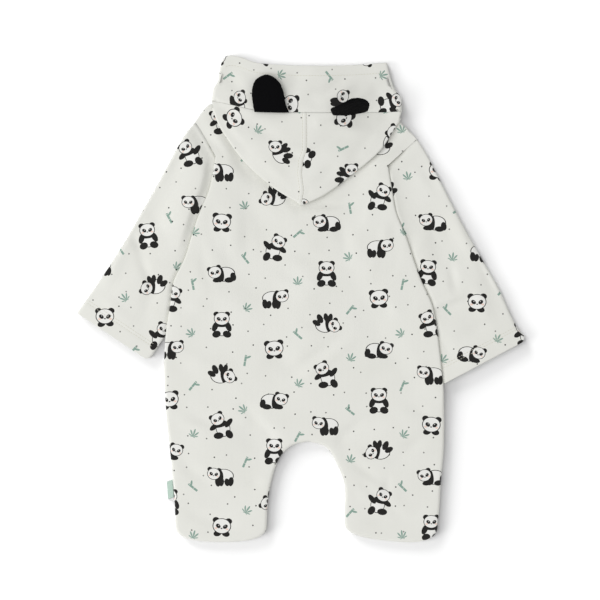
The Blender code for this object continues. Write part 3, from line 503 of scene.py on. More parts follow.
def printed_cotton():
    """Brushed cotton interlock: warm white, soft and matt, printed with small pandas,
    bamboo leaves, cut stalks and dots in black and sage."""
    material, tree, shader = new_material("brushed cotton interlock, printed")
    place = add(tree, "UVMap", uv_map="print")[0]

    # the pandas take their poses in turn, and look the other way in every second column
    local, column, row = half_drop(tree, place, (0.0, 0.0))
    order = add(tree, "MULTIPLY_ADD", (column, 2.0, row))[0]
    order = add(tree, "FLOORED_MODULO", (order, len(POSES)))[0]
    pose = add(tree, "DIVIDE", (add(tree, "ADD", (order, 0.5))[0], len(POSES)))[0]
    flip = add(tree, "FLOORED_MODULO", (column, 2.0))[0]
    flip = add(tree, "MULTIPLY_ADD", (flip, -2.0 * FIGURE, FIGURE))[0]
    size = add(tree, "CombineXYZ", (flip, FIGURE))[0]
    figure = add(tree, "VectorMath", (local, size), operation="MULTIPLY")[0]
    parts = {part: round_part(tree, part, pose, figure) for part in POSES[0]}
    reach = {part: add(tree, "VectorMath", (spot,), operation="LENGTH")[1] for part, spot in parts.items()}
    inside = {part: add(tree, "LESS_THAN", (far, 1.0))[0] for part, far in reach.items()}
    beyond, outline = ({part: add(tree, test, (reach[part], edge))[0] for part in ("head", "body")}
                       for test, edge in (("GREATER_THAN", 1.0), ("LESS_THAN", OUTLINE)))
    beside, up, _ = add(tree, "SeparateXYZ", (parts["head"],))
    both_sides = add(tree, "CombineXYZ", (add(tree, "ABSOLUTE", (beside,))[0], up))[0]
    face = {name: oval(tree, both_sides, *spot) for name, spot in FACE.items()}

    # a thin outline, black limbs and a band that keeps inside it, then the head over them:
    # ears behind it, eye patches with a glint, and a nose
    ink = add(tree, "MULTIPLY", (outline["body"], beyond["body"]))[0]
    band = add(tree, "MULTIPLY", (inside["band"], outline["body"]))[0]
    limbs = [("MAXIMUM", inside[limb]) for limb in ("arm", "other arm", "leg", "other leg")]
    for way, mark in (("MAXIMUM", band), *limbs, ("MAXIMUM", face["ear"]), ("MAXIMUM", outline["head"]),
                      ("MULTIPLY", beyond["head"]), ("MAXIMUM", face["eye patch"]),
                      ("SUBTRACT", face["glint"]), ("MAXIMUM", face["nose"])):
        ink = add(tree, way, (ink, mark))[0]
    fur = add(tree, "MAXIMUM", (inside["head"], inside["body"]))[0]

    # leaves and stalks in turn, midway between the pandas
    spot, column, row = half_drop(tree, place, (CELL[0] / 2 + 3.0, CELL[1] / 4 - 2.0))
    turning = add(tree, "MULTIPLY_ADD", (column, 2.3, add(tree, "MULTIPLY", (row, 1.9))[0]))[0]
    spin = add(tree, "MULTIPLY", (add(tree, "SINE", (turning,))[0], 0.9))[0]
    sprig = add(tree, "VectorRotate", {"Vector": spot, "Rotation": add(tree, "CombineXYZ", {2: spin})[0]},
                rotation_type="EULER_XYZ")[0]
    beside, along, _ = add(tree, "SeparateXYZ", (sprig,))
    bearing = add(tree, "ARCTAN2", (beside, along))[0]
    lobes = add(tree, "COSINE", (add(tree, "MULTIPLY", (bearing, LOBES))[0],))[0]
    lobes = add(tree, "POWER", (add(tree, "ABSOLUTE", (lobes,))[0], 1.1))[0]
    length = add(tree, "MULTIPLY_ADD", (add(tree, "COSINE", (bearing,))[0], LEAN, LEAF))[0]
    far = add(tree, "VectorMath", (sprig,), operation="LENGTH")[1]
    leaves = add(tree, "LESS_THAN", (far, add(tree, "MULTIPLY", (lobes, length))[0]))[0]
    stalk = add(tree, "FLOORED_MODULO", (add(tree, "ADD", (along, 1.5))[0], JOINT))[0]
    stalk = add(tree, "GREATER_THAN", (stalk, 0.4))[0]
    for way, half in ((beside, STALK), (along, JOINT)):
        within = add(tree, "LESS_THAN", (add(tree, "ABSOLUTE", (way,))[0], half))[0]
        stalk = add(tree, "MULTIPLY", (stalk, within))[0]
    stalk = add(tree, "MAXIMUM", (stalk, oval(tree, sprig, *SHOOT)))[0]
    which = add(tree, "FLOORED_MODULO", (add(tree, "ADD", (row, column))[0], 2.0))[0]
    green = add(tree, "MULTIPLY_ADD", (which, add(tree, "SUBTRACT", (stalk, leaves))[0], leaves))[0]

    # small dots scattered between them, some faint
    dots = add(tree, "TexVoronoi", {"Vector": place, "Scale": 1 / DOT_PITCH, "Randomness": 0.8},
               voronoi_dimensions="2D")
    strength = add(tree, "SeparateColor", (dots["Color"],))[0]
    strength = add(tree, "MULTIPLY_ADD", (strength, 0.35, 0.65))[0]
    dotted = add(tree, "LESS_THAN", (dots["Distance"], DOT / 2 / DOT_PITCH))[0]
    dotted = add(tree, "MULTIPLY", (dotted, strength))[0]

    # undyed cotton, a little uneven, as brushed cloth takes the light
    uneven = add(tree, "TexNoise", {"Vector": place, "Scale": 0.018, "Detail": 2.0}, noise_dimensions="2D")
    colour = add(tree, "Mix", {0: uneven["Fac"], 6: to_linear("#E2E2DB"), 7: to_linear("#E8E8E2")},
                 data_type="RGBA")[2]
    for mask, code in ((green, SAGE), (dotted, INK), (fur, FUR), (face["cheek"], BLUSH), (ink, INK)):
        colour = add(tree, "Mix", {0: mask, 6: colour, 7: to_linear(code)}, data_type="RGBA")[2]

    # knit ribs under a brushed nap
    ribs = add(tree, "TexWave", {"Vector": place, "Scale": 2 * math.pi / 20 / RIB, "Distortion": 0.8,
                                 "Detail": 1.0}, bands_direction="X")["Fac"]
    nap = add(tree, "TexNoise", {"Vector": place, "Scale": 0.9, "Detail": 3.0}, noise_dimensions="2D")["Fac"]
    pile = add(tree, "MULTIPLY_ADD", (ribs, 0.35, nap))[0]
    bump = add(tree, "Bump", {"Height": pile, "Strength": 0.5, "Distance": 0.00025})[0]
    fill(shader, {"Base Color": colour, "Normal": bump, "Roughness": 0.9, "IOR": 1.45, "Sheen Weight": 0.2,
                  "Sheen Roughness": 0.5, "Sheen Tint": to_linear("#F2F2EC")})
    return material


cotton = printed_cotton()


def finish(piece, replaced, material):
    """Give a sheet of cloth its material and its place on the part, and hide the part that it replaces."""
    piece.data.materials.append(material)
    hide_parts(replaced)
    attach(piece, "root")


back = add_panel("back_cloth", BODY, [shown_armhole("left"), shown_armhole("right"), spline(BACK_NECK, 4)],
                 pressed_top, body_middle, 1, 4.0)

# ---- Fronts: two panels of the same cotton, each with the front of its leg, face down.
# The left one laps over the right one down the middle, where six press studs close it.
THROAT = (0.0, 146.0)
LAP, LAP_END, LAP_TAPER = 11.0, -116.0, 18.0
STUD_ROOM = 1.2            # rise of the outer front over the stud caps
LAP_RISE = STUD_ROOM + WALL + SEAM
UNDER_SEAMS = {
    "left": ((-97.5, 217.6), (-80.0, 212.5), (-58.0, 196.0), (-34.0, 166.0), (-12.0, 143.0)),
    "right": ((111.5, 206.0), (87.0, 208.0), (60.0, 195.0), (36.0, 166.0), (13.0, 143.0)),
}


def centre_x(y):
    """Middle of the front opening at a level."""
    return mix(THROAT[0], CROTCH[0], (THROAT[1] - y) / (THROAT[1] - CROTCH[1]))


def front_bottom(side):
    """Height of the underside of one front, lifted over the studs or over the other front."""
    def height(places):
        beyond = places[:, 0] - centre_x(places[:, 1])
        if side == "left":
            lift = STUD_ROOM * smooth(-LAP - 11, -LAP - 2, beyond)
        else:
            lift = LAP_RISE * (1 - smooth(LAP + 2, LAP + 16, beyond))
        return body_bottom(places) + lift * smooth(CROTCH[1] + 1, LAP_END - LAP_TAPER - 4, places[:, 1])
    return height


# Spun polyester thread: cream, a little glossier than the cloth it sinks into.
thread, _, shader = new_material("cream sewing thread")
fill(shader, {"Base Color": to_linear("#D9D7C6"), "Roughness": 0.6})
STITCH, STITCH_GAP, THREAD = 2.4, 0.8, 0.5          # length, space between two, thickness


def sew(name, cloth, lines, below=False):
    """Rows of stitches sunk into a cloth along lines seen from above, as one mesh."""
    tree = BVHTree.FromPolygons([v.co * 1000 for v in cloth.data.vertices],
                                [tuple(p.vertices) for p in cloth.data.polygons])
    way = 1 if below else -1
    up = np.array((0.0, 0.0, -way))
    points, faces = [], []
    for line in lines:
        ends = resample(line, (STITCH + STITCH_GAP) / 4)
        for first in range(0, len(ends) - 4, 4):
            hits = [tree.ray_cast(Vector((*place, -60.0 * way)), Vector((0, 0, way)))[0]
                    for place in ends[first:first + 4]]
            if None in hits or abs(hits[0].z - hits[3].z) > 1.5:
                continue
            spots = np.array(hits)
            run = spots[3] - spots[0]
            aside = np.array((-run[1], run[0], 0.0)) / max(np.hypot(run[0], run[1]), 1e-6)
            base = len(points)
            for spot, share in zip(spots, (0.35, 1.0, 1.0, 0.35)):
                half = share * THREAD / 2
                points += [spot + aside * half, spot + up * half, spot - aside * half, spot - up * half]
            faces += [(base + 4 * i + j, base + 4 * i + (j + 1) % 4, base + 4 * i + 4 + (j + 1) % 4,
                       base + 4 * i + 4 + j) for i in range(3) for j in range(4)]
            faces += [(base + 3, base + 2, base + 1, base), tuple(base + 12 + j for j in range(4))]
    stitches = add_mesh(name, points, faces)
    stitches.data.materials.append(thread)
    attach(stitches, "root")


for side, sign in (("left", 1), ("right", -1)):
    levels = np.linspace(THROAT[1] - 3, CROTCH[1] + 10, 56)
    wide = smooth(LAP_END - LAP_TAPER, LAP_END, levels)
    opening = np.column_stack((centre_x(levels) + sign * (LAP * wide - (SEAM / 2) * (1 - wide)), levels))
    neck = spread(UNDER_SEAMS[side], np.linspace(0.42, 1.0, 20)) - np.array((sign * 0.7, 1.2))
    loop = np.vstack((side_edge(side, FINE)[::-1], shown_armhole(side)[::-1][1:],
                      resample(SHOULDERS[side], FINE)[1:], neck, opening))
    front = add_panel("front_%s_cloth" % side, loop, [shown_armhole(side), np.vstack((neck, opening))],
                      front_bottom(side), body_middle, -1, 6.0)
    finish(front, "front_" + side, cotton)
    if side == "left":
        lap = opening[levels > LAP_END][1:-1]
        sew("lap_stitches", front, [lap - (2.0, 0.0), lap - (LAP * 2 - 2.5, 0.0)], below=True)
finish(back, "back", cotton)

# ---- Sleeves: each a tube of the same cotton, cut in one and sewn under the arm, laid flat
# with its inner edge tucked under the body; a hem at the cuff is turned up and twin-stitched.
CUFF_HEM = 19.5            # depth of the hem
TWIN_ROWS = (CUFF_HEM - 0.8, CUFF_HEM - 4.0)
HEM_RISE = 0.35            # extra height of a hem
ROW_SINK, ROW_WIDE = 0.35, 1.1            # dip along a row of stitches, and its half width
CUFF_ROLL = 7.0            # radius of the one corner of each cuff that has rolled over
CUFF_ROLL_RUN = 24.0       # how far up the sleeve it draws the cloth in
ROLLED = {"left": "inner", "right": "outer"}
HOLLOWS = {
    # side: levels between which it deepens, where it rises beside the body, bulge, lip
    "left": (30.0, 95.0, -8.0, 8.0, 5.0, 0.0), "right": (50.0, 95.0, 6.0, 70.0, 0.0, 3.8),
}
BULGE_AT, BULGE_IN, BULGE_OUT = 11.0, 5.5, 24.0     # middle of the bulge, and its two half widths
LIP_RUN = 7.0              # how far the lip falls away from the body
FOLD_STEPS = np.radians(np.arange(90, -91, -18))    # turns round a fold, from its top down
SLEEVE_CREASES = (
    (-140, 120, -178, 66, 12, -0.9), (-150, 40, -206, 4, 12, 0.8), (150, 96, 176, 44, 12, -0.9),
    (137, -18, 187, -1, 9, -1.2), (118, 150, 136, 128, 8, 0.9),
    # left sleeve: a slack pleat that runs from the elbow to the inner end of the cuff
    (-128, 160, -142, 136, 6, -0.7), (-172, 92, -154, 66, 6, 0.6), (-186, 72, -172, 50, 5, -1.0),
    (-178, 50, -160, 8, 5, -0.9), (-190, 62, -214, 18, 7, 0.7), (-216, 0, -182, -30, 7, 0.6),
    (-214, 66, -188, 70, 6, -0.6), (-158, 26, -172, -22, 8, -0.7), (-204, 44, -228, 6, 6, -0.5),
    # right sleeve: a hollow at the elbow and a short sharp fold below it
    (128, 152, 150, 120, 6, -0.7), (142, 92, 160, 30, 13, -1.2), (170, 86, 192, 42, 7, 0.7),
    (140, -10, 184, 5, 3.5, 1.0), (166, 36, 170, 8, 5, -0.8), (196, 40, 216, 6, 6, -0.7),
    (180, -40, 214, -24, 7, -0.6), (192, 14, 206, -22, 8, 0.7), (152, -40, 166, -66, 7, -0.6),
)


def sleeve_top(side, places, down, share):
    """Upper face of a sleeve, pressed flat at its armhole and under the body."""
    beside = outside_by(places, BODY)
    low, high, near, far, swell, lip = HOLLOWS[side]
    hollow = smooth(low, high, places[:, 1])
    free = smooth(mix(-3.0, near, hollow), mix(5.0, far, hollow), beside) * smooth(-1.5, 1.0, beside)
    rise = (PUFF - FLAT) * smooth(-0.02, 0.22, down) * (0.75 + 0.25 * np.sin(np.pi * share))
    # a slack bulge a little way off the body, steep on the body's side
    bulge = np.exp(-((beside - BULGE_AT) / np.where(beside > BULGE_AT, BULGE_OUT, BULGE_IN)) ** 2)
    rise = rise + swell * bulge * hollow * smooth(0.0, 0.1, down)
    # or a lip that stands up against the body's side and falls away from it
    lip = lip * np.exp(-np.maximum(beside, 0.0) / LIP_RUN) * smooth(-0.7, 1.2, beside)
    lip = lip * hollow * smooth(0.0, 0.05, down)
    soft = creased(places, SLEEVE_CREASES) + rumple(places, 52.0, 0.45) + rumple(places, 21.0, 0.16)
    height = np.maximum(FLAT, FLAT + lip + free * rise + soft * free * smooth(-0.02, 0.15, down))
    cuff = to_line(places, np.reshape(SLEEVES[side][-1], (2, 2)))
    hem = HEM_RISE * (1 - smooth(CUFF_HEM, CUFF_HEM + 1.5, cuff))
    for row in TWIN_ROWS:
        hem = hem - ROW_SINK * np.exp(-((cuff - row) / ROW_WIDE) ** 2)
    return height + hem


def turned_print(places, angle, shift):
    """Places on the cloth as places in its print, in millimetres."""
    cosine, sine = math.cos(math.radians(angle)), math.sin(math.radians(angle))
    return np.asarray(places) @ np.array(((cosine, sine), (-sine, cosine))) + np.array(shift)


def add_wall(name, make_grid, wall, closed, angle=0.0, shift=(0.0, 0.0)):
    """Wall of cloth between two grids of points, row by row.

    make_grid gives the points and their print places, for an inset of 0 and of the wall.
    """
    (outside, prints), (inside, _) = make_grid(0.0), make_grid(wall)
    rows, columns = outside.shape[:2]
    size, faces = rows * columns, []
    across = columns if closed else columns - 1
    for i in range(rows - 1):
        for j in range(across):
            k = (j + 1) % columns
            face = (i * columns + j, i * columns + k, (i + 1) * columns + k, (i + 1) * columns + j)
            faces += [face, tuple(size + index for index in reversed(face))]
    edges = [(i * columns + j, i * columns + (j + 1) % columns)
             for i in (0, rows - 1) for j in range(across)]
    if not closed:
        edges += [(i * columns + j, (i + 1) * columns + j)
                  for j in (0, columns - 1) for i in range(rows - 1)]
    faces += [(a, b, size + b, size + a) for a, b in edges]
    flat = turned_print(prints.reshape(-1, 2), angle, shift)
    points = np.vstack((outside.reshape(-1, 3), inside.reshape(-1, 3)))
    return add_mesh(name, points, faces, np.vstack((flat, flat)))


def level_column(places, height, prints=None):
    """Column of a grid at a height over its places, with its print places."""
    points = np.column_stack((places, np.broadcast_to(height, len(places))))
    return points[:, None], (places if prints is None else prints)[:, None]


def fold_round(centre, out, radius, inset, height):
    """Columns of a grid round a fold, and their print places.

    out is the level direction of the fold in each row, and height that of its axis.
    """
    size = (radius - inset)[:, None]
    flat = centre[:, None] + out[:, None] * (size * np.cos(FOLD_STEPS))[..., None]
    prints = centre[:, None] + out[:, None] * (radius[:, None] * (math.pi / 2 - FOLD_STEPS))[..., None]
    return np.dstack((flat, height[:, None] + size * np.sin(FOLD_STEPS))), prints


def roll_corner(side, grid):
    """Draw in one corner of the cuff, which has rolled over to a round."""
    ends = np.reshape(SLEEVES[side][-1], (2, 2))
    corner, other = ends if ROLLED[side] == "outer" else ends[::-1]
    along = unit(other - corner)
    up = np.array((along[1], -along[0]))
    off = grid[..., :2] - corner
    short = np.clip(CUFF_ROLL - off @ along, 0.0, CUFF_ROLL)
    lift = (CUFF_ROLL - np.sqrt(CUFF_ROLL ** 2 - short ** 2)) * (1 - smooth(0.0, CUFF_ROLL_RUN, off @ up))
    grid = grid.copy()
    grid[..., :2] += lift[..., None] * up
    return grid


def sleeve_grid(side):
    """Grid of a sleeve's tube: rows from the armhole to the cuff, columns right round it."""
    rows = np.array(SLEEVES[side])
    downs = np.concatenate((np.arange(0.0, 0.925, 0.0148), np.linspace(0.925, 1.0, 17)))
    outers, inners = spread(rows[:, :2], downs), spread(rows[:, 2:], downs)
    across = unit(inners - outers)

    def place(share):
        bow = armhole(side, [share])[0] - mix(outers[0], inners[0], share)
        return mix(outers, inners, share) + bow * (1 - smooth(0.0, 0.34, downs))[:, None]

    def side_fold(edge, out, share, inset):
        radius = sleeve_top(side, edge, downs, share) / 2
        return fold_round(edge - out * radius[:, None], out, radius, inset, radius)

    def make_grid(inset):
        columns = [[part[:, ::-1] for part in side_fold(outers, -across, 0.0, inset)]]
        for share in np.linspace(0.04, 0.96, 64):
            spot = place(share)
            columns.append(level_column(spot, sleeve_top(side, spot, downs, share) - inset))
        columns.append(side_fold(inners, across, 1.0, inset))
        columns += [level_column(place(share), inset) for share in np.linspace(0.92, 0.08, 9)]
        return [roll_corner(side, np.concatenate(parts, axis=1)) for parts in zip(*columns)]

    return make_grid


for side, angle, shift in (("left", -7.0, (14.0, 22.0)), ("right", 6.0, (8.0, 40.0))):
    sleeve = add_wall("sleeve_%s_cloth" % side, sleeve_grid(side), WALL, True, angle, shift)
    finish(sleeve, "sleeve_" + side, cotton)
    above, ends = np.reshape(SLEEVES[side][-2:], (2, 2, 2))
    rows = [mix(*(ends + unit(above - ends) * depth), np.linspace(0.03, 0.97, 12)[:, None])
            for depth in TWIN_ROWS]
    sew("cuff_stitches_" + side, sleeve, rows)
    sew("cuff_stitches_under_" + side, sleeve, rows, below=True)

# ---- Hood: a band round the face and two halves behind it, joined by a centre seam.  It is
# thrown back: the band lies beyond the shoulders, the halves lie doubled on the back.
RIM = ((-85.7, 264.6), (-78.5, 267.8), (-67.0, 266.4), (-48.8, 260.0), (-24.6, 257.7),
       (4.0, 256.6), (32.6, 256.5), (56.8, 257.2), (76.6, 258.4), (95.3, 259.9))
EAR_SEAM = ((-97.5, 217.6), (-87.3, 215.5), (-74.0, 212.8), (-53.2, 208.1), (-24.6, 205.2),
            (4.3, 204.8), (34.8, 204.7), (63.4, 204.7), (89.8, 204.9), (111.5, 206.0))
SIDE_FOLDS = {
    "left": ((-85.7, 264.6), (-88.9, 252.0), (-90.5, 240.0), (-95.6, 231.5), (-97.5, 217.6)),
    "right": ((95.3, 259.9), (98.2, 247.5), (103.5, 231.0), (110.8, 221.5), (111.5, 206.0)),
}
# Where the band turns under: its rim, from the side fold to the throat.
UNDER_RIMS = {
    "left": ((-85.7, 264.6), (-62.0, 240.0), (-36.0, 205.0), (-16.0, 174.0), (-2.0, 156.0)),
    "right": ((95.3, 259.9), (68.0, 238.0), (40.0, 204.0), (18.0, 174.0), (3.0, 156.0)),
}
# The pointed fold that lies on the back, and the centre seam that runs down to it.
CENTRE_SEAM = ((205.0, 7.1), (185.0, 7.4), (163.0, 7.2), (152.0, 3.0), (137.0, 1.7),
               (118.0, 4.2), (102.6, 0.6))
FELL = 5.7                 # width of the seam's edges, turned to the left and stitched down
FELL_ROWS, FELL_RISE = (-0.9, 0.9 - FELL), 0.4
NECK_ENDS = {
    "left": ((-90.5, 208.3), (-64.0, 203.5), (-34.0, 194.5), (2.0, 190.5)),
    "right": ((103.5, 200.8), (70.0, 201.5), (38.0, 193.5), (2.0, 190.5)),
}
HOOD_FOLD, HOOD_PUFF = 4.0, 2.0           # height of the doubled halves, and their rise inside
NECK_LEVEL, RIM_LEVEL = 203.0, 262.0
RIM_HEIGHT, HOOD_CORNER = 4.8, 10.2
RIM_HEM = 11.5             # depth of the hem round the face
RIM_ROW, RIM_SINK = RIM_HEM - 0.6, 0.4    # its row of stitches, and the dip along them
EAR_SINK, EAR_SINK_WIDE = 0.45, 1.8       # dip along the ear seam, and its half width
HOOD_CREASES = (
    (5, 116, 14, 117, 4, -0.6), (-60, 196, -24, 174, 8, -0.8), (-22, 160, 2, 156, 5, -1.0),
    (-26, 166, 2, 163, 6, 0.6), (-40, 150, -14, 128, 7, 0.6), (8, 160, 46, 182, 7, -0.8),
    (30, 192, 80, 180, 8, 0.7), (40, 150, 20, 128, 7, -0.6), (86, 192, 60, 160, 8, -0.8),
    (-80, 196, -64, 168, 7, 0.6), (-78, 182, -58, 158, 6, -0.6), (14, 190, 26, 196, 5, 0.6),
    # the band: pulls from the ears to the rim, and a tuck in each lower corner
    (-96, 206, -66, 205, 7, -1.0), (-90, 216, -72, 214, 5, 0.6), (104, 204, 84, 200, 7, -0.8),
    (-70, 228, -60, 250, 9, 0.6), (-12, 232, 2, 250, 8, -0.8), (6, 218, 24, 214, 7, -0.6),
    (-6, 222, 12, 232, 6, 0.6), (26, 228, 50, 243, 5, -0.9), (34, 220, 58, 236, 5, 0.8),
    (40, 214, 66, 230, 5, -0.8), (76, 238, 90, 218, 7, -0.7), (-84, 248, -60, 226, 7, -0.7),
    (92, 246, 66, 226, 7, 0.6), (-52, 252, -20, 246, 6, 0.6),
)


def hood_top(places):
    """Upper face of the hood where it lies on the back, and of its band."""
    x, y = places[:, 0], places[:, 1]
    edge, to_side = to_line(places, *POINTS.values()), to_line(places, *SIDE_FOLDS.values())
    level = np.column_stack((x, np.minimum(y, NECK_LEVEL)))
    soft = creased(places, HOOD_CREASES) + rumple(places, 48.0, 0.4) + rumple(places, 20.0, 0.15)
    on_back = body_top(level) + LOOSE + HOOD_FOLD + HOOD_PUFF * smooth(2.0, 26.0, edge)
    up = smooth(NECK_LEVEL, RIM_LEVEL, y)
    middle = mix(on_back, RIM_HEIGHT, up)
    beyond = mix(np.minimum(mix(HOOD_CORNER, RIM_HEIGHT, up), middle), middle, smooth(2.0, 34.0, to_side))
    height = np.where(y <= NECK_LEVEL, on_back, beyond)
    height = height + soft * smooth(2.0, 16.0, edge) * smooth(1.0, 14.0, to_side)
    rim, seam = (to_line(places, spread(line, np.linspace(0, 1, 24))) for line in (RIM, EAR_SEAM))
    height = height + HEM_RISE * (1 - smooth(RIM_HEM, RIM_HEM + 1.5, rim))
    height = height - RIM_SINK * np.exp(-((rim - RIM_ROW) / ROW_WIDE) ** 2)
    height = height - EAR_SINK * np.exp(-(seam / EAR_SINK_WIDE) ** 2)
    centre = x - centre_seam_x(y)
    fell = FELL_RISE * smooth(-FELL - 0.6, -FELL + 0.6, centre) * (1 - smooth(-0.6, 0.3, centre))
    for row in FELL_ROWS:
        fell = fell - ROW_SINK * np.exp(-((centre - row) / 0.8) ** 2)
    return height + fell * (y < CENTRE_SEAM[0][0])


def centre_seam_x(levels):
    """Middle of the hood's centre seam at each level."""
    rows = np.array(CENTRE_SEAM)[::-1]
    return np.interp(levels, rows[:, 0], rows[:, 1])


def hood_side_grid(side):
    """Grid of one half of the hood, folded so that its lower half lies hidden."""
    sign = 1 if side == "left" else -1
    seam_line = EAR_SEAM[:6] if side == "left" else EAR_SEAM[5:][::-1]
    shares = np.concatenate((np.linspace(0.0, 0.9, 32), np.linspace(0.906, 1.0, 18)))
    tops = spread(seam_line, shares) - np.array((0.0, SEAM))
    points, necks = spread(POINTS[side], shares), spread(NECK_ENDS[side], shares)
    run = unit(np.gradient(points, axis=0))
    out = unit(mix(np.column_stack((run[:, 1], -run[:, 0])) * sign, np.array((0.0, -1.0)),
                   smooth(0.82, 1.0, shares)[:, None]))

    def to_centre(places):
        off = centre_seam_x(places[-1, 1]) - sign * 0.02 - places[-1, 0]
        return places + np.column_stack((smooth(0.75, 1.0, shares) * off, np.zeros(len(places))))

    folds = to_centre(points - out * HOOD_FOLD / 2)

    def make_grid(inset):
        base = body_top(folds) + LOOSE
        radius = (hood_top(folds) - base) / 2
        columns = []
        for level in np.concatenate((np.linspace(0.0, 0.06, 4), np.linspace(0.1, 0.97, 24))):
            spot = to_centre(mix(tops, folds, level))
            columns.append(level_column(spot, hood_top(spot) - inset))
        columns.append(fold_round(folds, out, radius, inset, base + radius))
        for level in np.linspace(0.08, 1.0, 10):
            spot = to_centre(mix(folds, necks, level))
            unfolded = 2 * folds - spot + out * (radius * math.pi)[:, None]
            columns.append(level_column(spot, body_top(spot) + LOOSE + inset, unfolded))
        return [np.concatenate(parts, axis=1) for parts in zip(*columns)]

    return make_grid


def hood_band_grid(inset):
    """Grid of the band: rows from the rim to the ear seam, columns from throat to throat."""
    downs = np.concatenate((np.linspace(0.0, 0.28, 16), np.linspace(0.34, 0.92, 10),
                            np.linspace(0.94, 1.0, 5)))
    tops, unders = np.linspace(0.02, 0.98, 48), np.linspace(0.05, 1.0, 14)
    ends = []
    for side, way in (("left", -1.0), ("right", 1.0)):
        rims, seams = spread(UNDER_RIMS[side], unders), spread(UNDER_SEAMS[side], unders)
        flat = mix(rims, seams, downs[:, None, None])
        edge = spread(SIDE_FOLDS[side], downs)
        radius = hood_top(edge) / 2
        out = np.tile((way, 0.0), (len(edge), 1))
        fold, prints = fold_round(edge - out * radius[:, None], out, radius, inset, radius)
        under = np.dstack((flat, np.full(flat.shape[:2], inset)))
        ends.append((np.concatenate((fold, under), axis=1),
                     np.concatenate((prints, 2 * edge[:, None] - flat), axis=1)))
    flat = mix(spread(RIM, tops), spread(EAR_SEAM, tops) + np.array((0.0, SEAM)), downs[:, None, None])
    height = hood_top(flat.reshape(-1, 2)).reshape(flat.shape[:2]) - inset
    return [np.concatenate((left[:, ::-1], upper, right), axis=1)
            for left, upper, right in zip(ends[0], (np.dstack((flat, height)), flat), ends[1])]


band = add_wall("hood_band_cloth", hood_band_grid, WALL, False, 90.0, (12.0, 40.0))
finish(band, "hood_band", cotton)
rim = spread(RIM, np.linspace(0.02, 0.98, 40))
sew("rim_stitches", band, [rim - (0.0, RIM_ROW)])
for side, angle, shift in (("left", 62.0, (8.0, 0.0)), ("right", -66.0, (0.0, 20.0))):
    half = add_wall("hood_side_%s_cloth" % side, hood_side_grid(side), WALL, False, angle, shift)
    finish(half, "hood_side_" + side, cotton)
    if side == "left":
        levels = np.linspace(203.0, 104.0, 30)
        sew("centre_stitches", half, [np.column_stack((centre_seam_x(levels) + away, levels))
                                      for away in FELL_ROWS])

# ---- Ears: two layers of black fleece each, sewn right sides together, turned, and caught in
# the seam behind the band.  The left one has flopped back flat, the right one still stands.
EAR_HEIGHT, EAR_THICK = 41.0, 6.0
EAR_EDGES = {
    # side: rows of the share of its height and two distances from the middle of its base
    "left": ((0.0, -19.0, 19.0), (0.25, -21.0, 15.0), (0.57, -22.0, 12.4), (0.80, -19.8, 8.0),
             (0.93, -15.0, 2.6), (1.0, -9.0, -3.6)),
    "right": ((0.0, -19.5, 19.5), (0.25, -20.8, 20.8), (0.50, -20.6, 20.6), (0.75, -16.8, 16.8),
              (0.92, -10.2, 10.2), (1.0, -3.6, 3.6)),
}
EARS = {
    # side: middle of the base, turn about Z, lean back from upright
    "left": ((-31.5, 204.6, 14.85), -1.0, 93.0),
    "right": ((55.0, 204.5, 12.5), 8.0, 13.0),
}
LOCK, CURL = 1.5, 0.38     # spacing and height of the curls of the pile
WARP = 2.2                 # bow of the standing ear at its top
EAR_SQUARE = 0.8           # 1 would be an ellipse in section, less is squarer
EAR_ROUND = 72             # points round an ear


def black_fleece():
    """Polyester fleece: a short, dense, curly pile that swallows the light."""
    material, tree, shader = new_material("black polyester fleece")
    place = add(tree, "NewGeometry")["Position"]
    curls = add(tree, "TexNoise", {"Vector": place, "Scale": 900.0, "Detail": 3.0})["Fac"]
    tips = add(tree, "Mix", {0: curls, 6: to_linear("#030304"), 7: to_linear("#0C0C0E")},
               data_type="RGBA")[2]
    bump = add(tree, "Bump", {"Height": curls, "Strength": 0.8, "Distance": 0.0006})[0]
    fill(shader, {"Base Color": tips, "Normal": bump, "Roughness": 1.0, "Specular IOR Level": 0.1})
    return material


